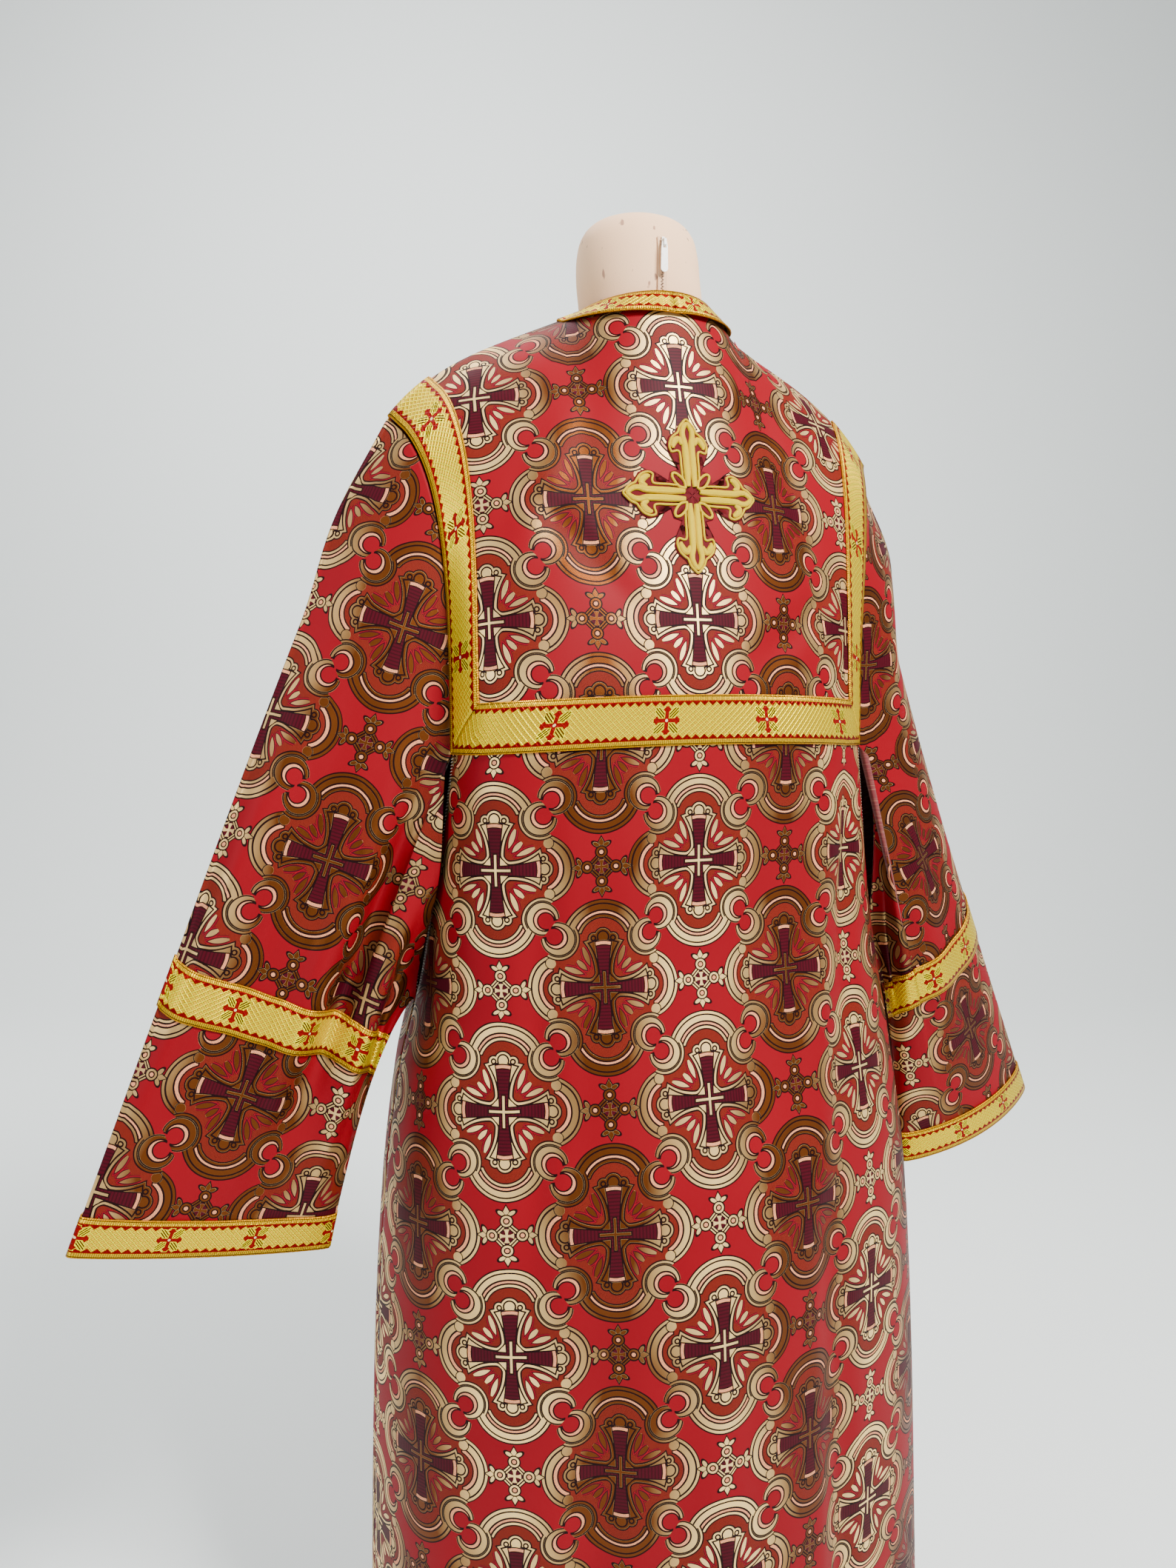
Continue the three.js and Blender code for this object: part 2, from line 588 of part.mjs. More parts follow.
function sleeveFaces(side, firstRow, lastRow) {
  const grid = sleeves[side];
  const faces = [];
  for (let i = firstRow; i < lastRow; i += 1) {
    for (let j = 0; j < grid[0].length - 1; j += 1) {
      faces.push([grid[i][j], grid[i][j + 1], grid[i + 1][j + 1], grid[i + 1][j]]);
    }
  }
  return faces;
}

const lastSleeveRow = sleeves.left.length - 1;
const sleeveGeometry = (side) => (
  closedShell(sleeveFaces(side, 0, lastSleeveRow), -BROCADE / 2, BROCADE / 2)
);
const armband = (side) => trimShell(sleeveFaces(side, ARMBAND_ROW, ARMBAND_ROW + 1));
const cuffBand = (side) => trimShell(sleeveFaces(side, lastSleeveRow - 1, lastSleeveRow));

// ---- embroidered cross ----------------------------------------------------------------------------------
// The point of the back panel at an x and a z, and the normal there, read from the panel's own cells.
function onBackPanel(x, z) {
  const ray = new THREE.Ray(vec(x, 1000, z), vec(0, -1, 0));
  for (let i = YOKE_ROW; i < TOP_ROW; i += 1) {
    for (let j = -TRIM_COLUMN; j < TRIM_COLUMN; j += 1) {
      const [a, b, c, d] = panelCell('back', i, j).map((vertex) => vertex.point);
      for (const [p, q, r] of [[a, b, c], [a, c, d]]) {
        const point = ray.intersectTriangle(p, q, r, false, vec(0, 0, 0));
        if (point) return point;
      }
    }
  }
  throw new Error(`no cloth at x ${x}, z ${z}`);
}

function crossVertex(x, z) {
  const [cx, cz] = [CROSS_CENTRE.x + x, CROSS_CENTRE.z + z];
  const reach = 12;
  const across = onBackPanel(cx + reach, cz).sub(onBackPanel(cx - reach, cz));
  const up = onBackPanel(cx, cz + reach).sub(onBackPanel(cx, cz - reach));
  return { point: onBackPanel(cx, cz), normal: up.cross(across).normalize() };
}

function backCross() {
  const faces = [];
  const centre = [];
  for (let arm = 0; arm < 4; arm += 1) {
    const turn = (arm * Math.PI) / 2;
    const [c, s] = [Math.round(Math.cos(turn)), Math.round(Math.sin(turn))];
    const place = (along, side) => (
      crossVertex(c * along - s * side, (s * along + c * side) * CROSS_STRETCH)
    );
    const stations = CROSS_ARM.map(({ along, half }, k) => {
      if (k > 0) return [place(along, -half), place(along, half)];
      centre[arm] ??= place(along, -half);
      return [centre[arm], null];
    });
    faces.push({ arm, stations });
  }
  const quads = [[...centre]];
  for (const { arm, stations } of faces) {
    stations[0][1] = centre[(arm + 1) % 4];
    for (let k = 1; k < stations.length; k += 1) {
      quads.push([stations[k - 1][0], stations[k][0], stations[k][1], stations[k - 1][1]]);
    }
  }
  return closedShell(quads, BROCADE / 2 + CROSS_GAP, BROCADE / 2 + CROSS_GAP + CROSS_THICKNESS);
}

// ---- dress form -----------------------------------------------------------------------------------------
function formBody() {
  const heights = [];
  for (let k = 1; k < FORM_SECTIONS.length; k += 1) {
    const [low, high] = [FORM_SECTIONS[k - 1].z, FORM_SECTIONS[k].z];
    heights.push(low);
    if (high - low > 45) heights.push((low + high) / 2);
  }
  heights.push(FORM_SECTIONS.at(-1).z);
  const points = [];
  for (const z of heights) {
    const half = readTable(FORM_SECTIONS, z, 'half');
    const lean = readTable(FORM_SECTIONS, z, 'lean');
    for (let k = 0; k < FORM_SIDES; k += 1) {
      const turn = (2 * Math.PI * k) / FORM_SIDES;
      const depth = readTable(FORM_SECTIONS, z, Math.sin(turn) > 0 ? 'back' : 'front');
      points.push(vec(lean + half * Math.cos(turn), depth * Math.sin(turn), z));
    }
  }
  points.push(vec(0, 0, FORM_SECTIONS[0].z), vec(FORM_SECTIONS.at(-1).lean, 0, FORM_TOP_Z));
  const [foot, head] = [points.length - 2, points.length - 1];
  const lastRing = (heights.length - 1) * FORM_SIDES;
  const index = [];
  for (let k = 0; k < FORM_SIDES; k += 1) {
    const next = (k + 1) % FORM_SIDES;
    index.push(foot, next, k, head, lastRing + k, lastRing + next);
    for (let ring = 0; ring < lastRing; ring += FORM_SIDES) {
      const [a, b] = [ring + k, ring + next];
      index.push(a, b, b + FORM_SIDES, a, b + FORM_SIDES, a + FORM_SIDES);
    }
  }
  return solidFrom(points, index);
}

// A lathe about Z. The profile is a list of [radius, height] from the axis back to the axis.
function latheZ(profile, sides) {
  const geometry = new THREE.LatheGeometry(profile.map(([r, h]) => new THREE.Vector2(r, h)), sides);
  return geometry.rotateX(Math.PI / 2);
}

function formBase() {
  const edge = 6;
  return latheZ([
    [0, 0],
    [BASE_RADIUS, 0],
    [BASE_RADIUS, BASE_HEIGHT - 2 * edge],
    [BASE_RADIUS - edge, BASE_HEIGHT - edge],
    [POLE_RADIUS + 14, BASE_HEIGHT],
    [0, BASE_HEIGHT],
  ], 48);
}

function formPole() {
  const [low, high] = [BASE_HEIGHT + PART_GAP, FORM_SECTIONS[0].z - PART_GAP];
  return latheZ([
    [0, low],
    [POLE_RADIUS + 8, low],
    [POLE_RADIUS + 8, low + 30],
    [POLE_RADIUS, low + 40],
    [POLE_RADIUS, high - 12],
    [POLE_RADIUS + 20, high - 6],
    [POLE_RADIUS + 20, high],
    [0, high],
  ], 20);
}

// ---- zip in the back of the form's neck -----------------------------------------------------------------
// How far behind the middle line the form's cover is, at the zip.
function coverDepth(z) {
  const half = readTable(FORM_SECTIONS, z, 'half');
  const across = (ZIP.x - readTable(FORM_SECTIONS, z, 'lean')) / half;
  return readTable(FORM_SECTIONS, z, 'back') * Math.sqrt(1 - across ** 2);
}

function zipStrip() {
  const rows = 6;
  const points = Array.from({ length: rows + 1 }, (_, k) => {
    const z = lerp(ZIP.bottom, ZIP.top, k / rows);
    return [-1, 1].map((side) => vec(ZIP.x + (side * ZIP.tape) / 2, coverDepth(z), z));
  });
  const grid = gridOf(points, -1);
  const faces = [];
  for (let k = 0; k < rows; k += 1) faces.push([grid[k][0], grid[k][1], grid[k + 1][1], grid[k + 1][0]]);
  return closedShell(faces, 0.9, 0.9 + ZIP.thickness);
}

const sliderBack = coverDepth(SLIDER.z) + 0.9 + ZIP.thickness + PART_GAP + 0.6;
const pivot = vec(ZIP.x, sliderBack + SLIDER.thickness + BRIDGE.depth / 2, SLIDER.z);

// The slider's body and its bridge are one piece: a plate with a loop standing on it.
function zipSlider() {
  const outline = new THREE.Shape();
  const [halfHeight, plate] = [SLIDER.height / 2, SLIDER.thickness];
  const [loop, top] = [BRIDGE.height / 2, SLIDER.thickness + BRIDGE.depth];
  outline.moveTo(-halfHeight, 0).lineTo(halfHeight, 0).lineTo(halfHeight, plate).lineTo(loop, plate);
  outline.lineTo(loop, top - 1).lineTo(loop - 1, top).lineTo(1 - loop, top).lineTo(-loop, top - 1);
  outline.lineTo(-loop, plate).lineTo(-halfHeight, plate).closePath();
  const hole = new THREE.Path();
  const [w, low, high] = [loop - BRIDGE.wall, plate + 0.2, top - BRIDGE.wall];
  hole.moveTo(-w, low).lineTo(-w, high).lineTo(w, high).lineTo(w, low).closePath();
  outline.holes.push(hole);
  const geometry = new THREE.ExtrudeGeometry(outline, { depth: BRIDGE.width, bevelEnabled: false });
  geometry.translate(0, 0, -BRIDGE.width / 2);
  geometry.applyMatrix4(new THREE.Matrix4().makeBasis(vec(0, 0, 1), vec(0, 1, 0), vec(-1, 0, 0)));
  return geometry.translate(ZIP.x, sliderBack, SLIDER.z);
}

// The pull tab: a teardrop plate whose top bar goes through the slider's bridge.
function zipPull() {
  const outline = new THREE.Shape();
  const [half, tip] = [PULL.width / 2, PULL.tip / 2];
  const top = PULL.bar / 2;
  const foot = PULL.bar / 2 - PULL.length;
  outline.moveTo(-tip, top).lineTo(tip, top).lineTo(tip + 0.9, -PULL.eye);
  outline.absarc(0, foot + half, half, 0, -Math.PI, true);
  outline.lineTo(-tip - 0.9, -PULL.eye).closePath();
  const eye = new THREE.Path();
  const [w, low, high] = [BRIDGE.width / 2 + 0.35, -PULL.bar / 2 - PULL.eye, -PULL.bar / 2];
  eye.moveTo(-w, low).lineTo(w, low).lineTo(w, high).lineTo(-w, high).closePath();
  outline.holes.push(eye);
  const geometry = new THREE.ExtrudeGeometry(outline, {
    depth: PULL.thickness, bevelEnabled: false, curveSegments: 8,
  });
  geometry.translate(0, 0, -PULL.thickness / 2);
  geometry.rotateX(Math.PI / 2);
  return geometry.translate(pivot.x, pivot.y, pivot.z);
}

// ---- finishes and assembly ------------------------------------------------------------------------------
const finish = (name, color, roughness, metalness) => (
  new THREE.MeshStandardMaterial({ name, color, roughness, metalness })
);
const brocade = finish('brocade', 0xb01224, 0.5, 0.1);
const galloon = finish('galloon', 0xe6bd2e, 0.4, 0.3);
const embroidery = finish('embroidery', 0xf0cc30, 0.35, 0.2);
const cover = finish('form_cover', 0xe0b896, 0.9, 0);
const stand = finish('stand', 0x4a4a4c, 0.4, 0.8);
const zipMetal = finish('zip_metal', 0xf2f0ec, 0.4, 0.1);

const pieces = [
  ['back_panel', panelGeometry('back'), brocade],
  ['front_panel', panelGeometry('front'), brocade],
  ['sleeve_left', sleeveGeometry('left'), brocade],
  ['sleeve_right', sleeveGeometry('right'), brocade],
  ['collar_band', collarBand(), galloon],
  ['yoke_band_back', yokeBand('back'), galloon],
  ['yoke_band_front', yokeBand('front'), galloon],
  ['shoulder_band_left', shoulderBand(1), galloon],
  ['shoulder_band_right', shoulderBand(-1), galloon],
  ['armband_left', armband('left'), galloon],
  ['armband_right', armband('right'), galloon],
  ['cuff_band_left', cuffBand('left'), galloon],
  ['cuff_band_right', cuffBand('right'), galloon],
  ['back_cross', backCross(), embroidery],
  ['form_body', formBody(), cover],
  ['form_pole', formPole(), stand],
  ['form_base', formBase(), stand],
  ['form_zip', zipStrip(), zipMetal],
  ['zip_slider', zipSlider(), zipMetal],
  ['zip_pull', zipPull(), zipMetal],
];

const sticharion = new THREE.Group();
for (const [name, geometry, material] of pieces) {
  const mesh = new THREE.Mesh(geometry, material);
  mesh.name = name;
  sticharion.add(mesh);
}

// Put the origin under the middle of the whole box.
const middle = new THREE.Box3().setFromObject(sticharion, true).getCenter(vec(0, 0, 0));
sticharion.position.set(-middle.x, -middle.y, 0);

export default sticharion;
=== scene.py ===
import json
import logging
import math
from dataclasses import dataclass, field
from enum import Enum
from functools import reduce
from typing import Callable, NamedTuple, Sequence, TypeAlias

import bpy
import numpy as np
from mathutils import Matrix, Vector
from mathutils.bvhtree import BVHTree

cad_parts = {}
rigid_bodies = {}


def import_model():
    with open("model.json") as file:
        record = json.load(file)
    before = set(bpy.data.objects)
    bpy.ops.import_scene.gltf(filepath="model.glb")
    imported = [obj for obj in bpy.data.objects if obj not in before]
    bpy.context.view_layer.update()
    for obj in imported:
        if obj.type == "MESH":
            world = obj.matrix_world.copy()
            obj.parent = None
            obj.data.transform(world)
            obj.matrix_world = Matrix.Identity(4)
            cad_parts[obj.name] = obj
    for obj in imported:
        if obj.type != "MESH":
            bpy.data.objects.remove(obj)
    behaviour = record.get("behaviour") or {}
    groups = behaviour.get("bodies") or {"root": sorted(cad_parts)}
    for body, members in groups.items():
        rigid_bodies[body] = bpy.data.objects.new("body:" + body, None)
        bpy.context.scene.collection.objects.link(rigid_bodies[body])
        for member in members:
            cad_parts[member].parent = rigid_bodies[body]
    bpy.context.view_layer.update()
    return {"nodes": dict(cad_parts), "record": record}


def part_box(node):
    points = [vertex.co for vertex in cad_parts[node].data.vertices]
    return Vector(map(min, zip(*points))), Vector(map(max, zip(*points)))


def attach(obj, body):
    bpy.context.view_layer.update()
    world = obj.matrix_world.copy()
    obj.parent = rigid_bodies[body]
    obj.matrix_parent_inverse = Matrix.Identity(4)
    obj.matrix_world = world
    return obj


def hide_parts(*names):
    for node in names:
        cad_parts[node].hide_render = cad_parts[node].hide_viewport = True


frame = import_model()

Array = np.ndarray
Pair = tuple[float, float]
Triple = tuple[float, float, float]
Colour = Triple
Thing = bpy.types.Object
Socket = bpy.types.NodeSocket
Amount: TypeAlias = "Number | float"
MM = 0.001
# Columns of half a body panel: the middle is 0, and these are the neckline's end at the shoulder seam, the
# shoulder band's inner edge and the armhole.
SEAM_COLUMN, BAND_COLUMN, EDGE_COLUMN = 4, 8, 9
MAIN_BODY = frame["record"]["behaviour"]["joints"][0]["parent"]
PULL_BODY = frame["record"]["behaviour"]["joints"][0]["child"]
log = logging.getLogger("sticharion")


# ---- numbers ----
def bump(distance: Array | float, width: Array | float) -> Array:
    """Returns 1 in the middle, falling smoothly to 0 one width away."""
    return 0.5 + 0.5 * np.cos(np.pi * np.clip(np.abs(distance) / width, 0.0, 1.0))


def ramp01(value: Array | float, start: float, end: float) -> Array:
    """Returns a smooth step from 0 at start to 1 at end."""
    t = np.clip((np.asarray(value, float) - start) / (end - start), 0.0, 1.0)
    return t * t * (3.0 - 2.0 * t)


def unit(vectors: Array) -> Array:
    """Returns the vectors at a length of 1."""
    return vectors / np.maximum(np.linalg.norm(vectors, axis=-1, keepdims=True), 1e-9)


def rgb(red: float, green: float, blue: float) -> Colour:
    """Returns a colour on the usual scale of 0 to 255 as the linear one that the shader takes."""
    return tuple(((part / 255.0 + 0.055) / 1.055) ** 2.4 for part in (red, green, blue))


def darker(colour: Colour, share: float) -> Colour:
    """Returns a colour at a share of its brightness."""
    return tuple(part * share for part in colour)


def distance_along(path: Array) -> Array:
    """Returns the distance of each point of a path from its start."""
    return np.concatenate([[0], np.cumsum(np.linalg.norm(np.diff(path, axis=0), axis=1))])


def grid_faces(rows: int, columns: int) -> Array:
    """Returns the four-sided faces of a grid of points, row by row."""
    ids = np.arange(rows * columns).reshape(rows, columns)
    return np.stack([ids[:-1, :-1].ravel(), ids[:-1, 1:].ravel(), ids[1:, 1:].ravel(), ids[1:, :-1].ravel()], 1)


def tube_faces(rings: int, sides: int) -> list[list[int]]:
    """Returns the four-sided faces between rings of points, ring by ring."""
    return [
        [r * sides + k, r * sides + (k + 1) % sides, (r + 1) * sides + (k + 1) % sides, (r + 1) * sides + k]
        for r in range(rings - 1) for k in range(sides)
    ]


def tube_ends(rings: int, sides: int) -> list[list[int]]:
    """Returns the two faces that close a tube of rings."""
    return [list(range(sides))[::-1], [(rings - 1) * sides + k for k in range(sides)]]


class Side(Enum):
    """The wearer's left or right."""

    LEFT = 1
    RIGHT = -1


class Face(Enum):
    """The back or the front of the garment."""

    BACK = 1
    FRONT = -1


class Held(Enum):
    """How a sheet of cloth is held."""

    HUNG = "hung"
    STRETCHED = "stretched"


class Table:
    """Rows of numbers by height, read with a smooth curve through them."""

    def __init__(self, columns: Sequence[str], rows: Sequence[tuple[float, ...]]) -> None:
        """Keeps the columns by name. The first one is the height, z."""
        self.columns = {name: np.array([row[k] for row in rows], float) for k, name in enumerate(columns)}

    def read(self, z: Array | float, column: str) -> Array:
        """Reads a column at heights.

        Args:
            z: Heights in millimetres.
            column: The column's name.

        Returns:
            The column's value at each height.
        """
        zs, values = self.columns["z"], self.columns[column]
        last = len(zs) - 1
        low = np.clip(np.arange(last + 1) - 1, 0, last)
        high = np.clip(np.arange(last + 1) + 1, 0, last)
        slopes = (values[high] - values[low]) / (zs[high] - zs[low])
        z = np.asarray(z, float)
        k = np.clip(np.searchsorted(zs, z) - 1, 0, last - 1)
        span = zs[k + 1] - zs[k]
        t = np.clip((z - zs[k]) / span, 0.0, 1.0)
        rise = values[k + 1] - values[k]
        inward = t * (1 - t) * ((1 - t) * (slopes[k] * span - rise) - t * (slopes[k + 1] * span - rise))
        return values[k] + t * rise + inward


# ---- the cut of the cloth: millimetres, origin under the form's middle ----
@dataclass
class PanelCut:
    """Sizes of one body panel's neckline and armholes."""

    sign: int
    neck_depth: float
    neck_z: float
    collar_slope: float
    steepness: float
    armhole_depth: float
    chest_lean: float


@dataclass
class Cut:
    """Sizes that all the cloth pieces share."""

    hem_z: float = 50.0
    slit_bottom_z: float = 790.0
    yoke_z: float = 1025.0
    yoke_arch: float = 9.0
    yoke_band: float = 45.0
    collar_band: float = 24.0
    cuff_band: float = 35.0
    neck_side: float = 66.0
    neck_side_z: float = 1440.0
    side_slope: float = 31.0
    neck_corner: float = 8.0
    shoulder_half: float = 250.0
    drop_left: float = 110.0
    drop_right: float = 124.0
    half_seam: float = 0.5
    flute_top_z: float = 960.0
    lower_z: tuple[float, ...] = (50, 130, 240, 350, 460, 560, 640, 700, 750, 790, 835, 880, 930, 980, 1025)
    upper_shares: tuple[float, ...] = (0, 0.17, 0.34, 0.51, 0.68, 0.84, 1)
    seam_x: tuple[float, ...] = (66, 88, 124, 166, 212, 250)

    faces: dict[Face, PanelCut] = field(default_factory=lambda: {
        Face.BACK: PanelCut(1, 66, 1448, 66, 85, 66, 6),
        Face.FRONT: PanelCut(-1, 80, 1414, 48, 62, 58, 2),
    })
    sections: Table = field(default_factory=lambda: Table(
        ("z", "left", "right", "back", "front", "square_left", "square_right"),
        [
            (50, 286, 306, 216, 196, 2.1, 2.1),
            (400, 278, 297, 206, 184, 2.1, 2.1),
            (600, 266, 286, 194, 168, 2.2, 2.1),
            (720, 250, 272, 170, 152, 2.4, 2.1),
            (790, 233, 261, 157, 144, 2.7, 2.1),
            (860, 226, 250, 148, 138, 3.2, 2.1),
            (950, 218, 240, 146, 134, 3.8, 2.1),
            (1025, 213, 233, 146, 132, 4.2, 2.1),
            (1080, 213, 233, 146, 132, 4.2, 2.1),
        ],
    ))
    flutes: tuple[Triple, ...] = (
        (24, 20, 11), (58, 17, -9), (98, 26, 8), (133, 16, -10), (160, 18, 10),
        (205, 20, 12), (236, 16, -12), (268, 24, 14), (303, 16, -12), (335, 20, 12),
    )

    @property
    def yoke_row(self) -> int:
        """The row along the yoke band's lower edge."""
        return len(self.lower_z) - 1

    @property
    def slit_row(self) -> int:
        """The row where the side seams end."""
        return self.lower_z.index(self.slit_bottom_z)

    @property
    def top_row(self) -> int:
        """The row on the neckline and the shoulder seams."""
        return self.yoke_row + len(self.upper_shares) + 1

    def flute(self, angle: Array, z: Array) -> Array:
        """Returns how far the skirt stands out at an angle and a height."""
        fall = np.clip((self.flute_top_z - z) / (self.flute_top_z - self.hem_z), 0, 1) ** 1.3
        total = np.zeros(np.broadcast(angle, z).shape)
        for middle, width, depth in self.flutes:
            total = total + depth * bump((angle - middle + 540) % 360 - 180, width)
        return total * fall

    def body_point(self, angle: Array, z: Array, out: Array | float = 0.0) -> Array:
        """Places points of the body.

        Args:
            angle: Degrees round the body from the wearer's left.
            z: Heights.
            out: How far outside the cloth.

        Returns:
            The points.
        """
        angle, z = np.broadcast_arrays(np.asarray(angle, float), np.asarray(z, float))
        c, s = np.cos(np.radians(angle)), np.sin(np.radians(angle))
        left, back = c > 0, s > 0
        half = np.where(left, self.sections.read(z, "left"), self.sections.read(z, "right"))
        depth = np.where(back, self.sections.read(z, "back"), self.sections.read(z, "front"))
        square = np.where(left, self.sections.read(z, "square_left"), self.sections.read(z, "square_right"))
        reach = ((np.abs(c) / half) ** square + (np.abs(s) / depth) ** square) ** (-1.0 / square)
        radius = reach + self.flute(angle, z) + out
        return np.stack([radius * c, radius * s, z], axis=-1)

    def neckline(self, face: Face, side: int, angle: Array, heading: Array,
                 slope: Array) -> tuple[Array, Array]:
        """Places points of the neckline.

        Args:
            face: The back or the front.
            side: 1 for the wearer's left, -1 for the right.
            angle: Where the points are on it, from 0 at the shoulder seam, in radians.
            heading: Where the cloth runs from there, seen from above.
            slope: How steeply it falls.

        Returns:
            The points, and the steps from them to the collar's lower edge.
        """
        own = self.faces[face]
        points = np.stack([side * self.neck_side * np.cos(angle), own.sign * own.neck_depth * np.sin(angle),
                           self.neck_side_z + (own.neck_z - self.neck_side_z) * np.sin(angle) ** 2], -1)
        steps = np.stack([side * np.cos(heading) * np.cos(slope), own.sign * np.sin(heading) * np.cos(slope),
                          -np.sin(slope)], -1)
        return points, steps * self.collar_band

    def edge_angle(self, z: Array, face: Face, side: int) -> Array:
        """Returns how far a panel's edge is above the side line, in degrees."""
        share = np.clip((np.asarray(z, float) - self.slit_bottom_z) / (self.yoke_z - self.slit_bottom_z), 0, 1)
        armhole = math.degrees(math.atan2(self.faces[face].armhole_depth, 209 if side > 0 else 207))
        return armhole * share ** 0.8


@dataclass(frozen=True)
class Crease:
    """A soft fold of the cloth, along a line in the flat cut.

    Attributes:
        start: Where it starts, across and up the cut, in millimetres.
        end: Where it ends.
        width: Half its width.
        depth: Its height, or its depth where less than 0.
    """

    start: Pair
    end: Pair
    width: float
    depth: float

    def lift(self, flat: Array) -> Array:
        """Returns how far it lifts the cloth at places in the flat cut."""
        start, end = np.array(self.start), np.array(self.end)
        run = end - start
        share = np.clip(((flat - start) @ run) / (run @ run), 0, 1)
        away = np.linalg.norm(flat - (start + share[..., None] * run), axis=-1)
        return self.depth * bump(away, self.width) * np.sin(np.pi * (0.08 + 0.84 * share)) ** 0.7


class Cloth:
    """A grid of points on the middle of a cloth piece, with its normals and its flat cut."""

    relax_steps = 40

    def __init__(self, rows: Array, columns: Array, points: Array, outward: int) -> None:
        """Keeps the grid.

        Args:
            rows: The grid's row numbers.
            columns: The grid's column numbers.
            points: The points, by row and column, in millimetres.
            outward: 1 or -1, which turns the normals out.
        """
        self.rows, self.columns, self.points, self.outward = rows, columns, points, outward
        self.normals = self.find_normals(points)
        self.flat = self.flatten()

    def find_normals(self, points: Array) -> Array:
        """Returns the normals of a grid."""
        up = np.gradient(points, axis=0)
        across = np.gradient(points, axis=1)
        return unit(np.cross(across, up) * self.outward)

    def flatten(self) -> Array:
        """Lays the piece out flat, as it was cut, with the least stretch.

        Returns:
            Places in the flat cut, across and up, in millimetres.
        """
        r = np.unique(np.linspace(0, len(self.rows) - 1, 27).round().astype(int))
        c = np.unique(np.linspace(0, len(self.columns) - 1, 25).round().astype(int))
        grid = self.points[np.ix_(r, c)]
        along = np.zeros(grid.shape[:2])
        along[:, 1:] = np.cumsum(np.linalg.norm(np.diff(grid, axis=1), axis=-1), axis=1)
        along -= along[:, [len(c) // 2]]
        up = np.zeros(len(r))
        up[1:] = np.cumsum(np.linalg.norm(np.diff(grid, axis=0), axis=-1).mean(axis=1))
        laid = (along + 1j * up[:, None]).ravel()
        quads = grid_faces(*grid.shape[:2])
        triangles = np.concatenate([quads[:, [0, 1, 2]], quads[:, [0, 2, 3]]])
        corners = grid.reshape(-1, 3)[triangles]
        first, second = corners[:, 1] - corners[:, 0], corners[:, 2] - corners[:, 0]
        length = np.linalg.norm(first, axis=1)
        x = (first * second).sum(1) / length
        y = np.linalg.norm(second - first * (x / length)[:, None], axis=1)
        rest = np.stack([np.zeros_like(x) + 0j, length + 0j, x + 1j * y], 1)
        size = laid.size
        pull = np.zeros((size, size))
        edges: list[tuple[Array, Array, Array, Array]] = []
        for k in range(3):
            i, j, o = k, (k + 1) % 3, (k + 2) % 3
            to_i, to_j = rest[:, i] - rest[:, o], rest[:, j] - rest[:, o]
            weight = (to_i.conj() * to_j).real / np.maximum(np.abs((to_i.conj() * to_j).imag), 1e-6)
            weight = np.clip(weight, 0.02, 20.0)
            p, q = triangles[:, i], triangles[:, j]
            np.add.at(pull, (p, p), weight)
            np.add.at(pull, (q, q), weight)
            np.add.at(pull, (p, q), -weight)
            np.add.at(pull, (q, p), -weight)
            edges.append((p, q, weight, rest[:, j] - rest[:, i]))
        pull[0, 0] += 1.0
        solve = np.linalg.inv(pull)
        anchor = laid[0]
        for _ in range(self.relax_steps):
            turn = sum(w * edge.conj() * (laid[q] - laid[p]) for p, q, w, edge in edges)
            turn = turn / np.maximum(np.abs(turn), 1e-9)
            load = np.zeros(size, complex)
            for p, q, w, edge in edges:
                np.add.at(load, q, w * turn * edge)
                np.add.at(load, p, -w * turn * edge)
            load[0] += anchor
            laid = solve @ load
        laid = laid.reshape(grid.shape[:2])
        middle = laid[:, len(c) // 2]
        laid = (laid - middle[0]) * np.exp(1j * (np.pi / 2 - np.angle(middle[-1] - middle[0])))
        return np.stack([self.refine(part, r, c) for part in (laid.real, laid.imag)], axis=-1)

    def refine(self, coarse: Array, r: Array, c: Array) -> Array:
        """Spreads values of some rows and columns over the whole grid, by their distance on the cloth."""
        down = np.linalg.norm(np.diff(self.points, axis=0), axis=-1).mean(axis=1)
        side = np.linalg.norm(np.diff(self.points, axis=1), axis=-1).mean(axis=0)
        rows, columns = np.concatenate([[0], np.cumsum(down)]), np.concatenate([[0], np.cumsum(side)])
        wide = np.stack([np.interp(columns, columns[c], row) for row in coarse])
        return np.stack([np.interp(rows, rows[r], column) for column in wide.T], axis=1)

    def crease(self, creases: Sequence[Crease], keep: Array) -> None:
        """Presses soft folds into the cloth.

        Args:
            creases: The folds.
            keep: How much of each fold is kept at each point, from 0 to 1.
        """
        if creases:
            lift = sum(one.lift(self.flat) for one in creases) * keep
            self.points = self.points + self.normals * lift[..., None]
            self.normals = self.find_normals(self.points)

    def sample(self, rows: Array, columns: Array) -> tuple[Array, Array, Array]:
        """Reads the cloth between its grid points.

        Args:
            rows: Row numbers.
            columns: Column numbers, as many.

        Returns:
            Points, normals and places in the flat cut.
        """
        rows, columns = np.broadcast_arrays(np.asarray(rows, float), np.asarray(columns, float))
        i = np.clip(np.searchsorted(self.rows, rows, side="right") - 1, 0, len(self.rows) - 2)
        j = np.clip(np.searchsorted(self.columns, columns, side="right") - 1, 0, len(self.columns) - 2)
        s = ((rows - self.rows[i]) / (self.rows[i + 1] - self.rows[i]))[..., None]
        t = ((columns - self.columns[j]) / (self.columns[j + 1] - self.columns[j]))[..., None]

        def read(values: Array) -> Array:
            """Reads one kind of value."""
            low = values[i, j] * (1 - t) + values[i, j + 1] * t
            high = values[i + 1, j] * (1 - t) + values[i + 1, j + 1] * t
            return low * (1 - s) + high * s

        return read(self.points), unit(read(self.normals)), read(self.flat)


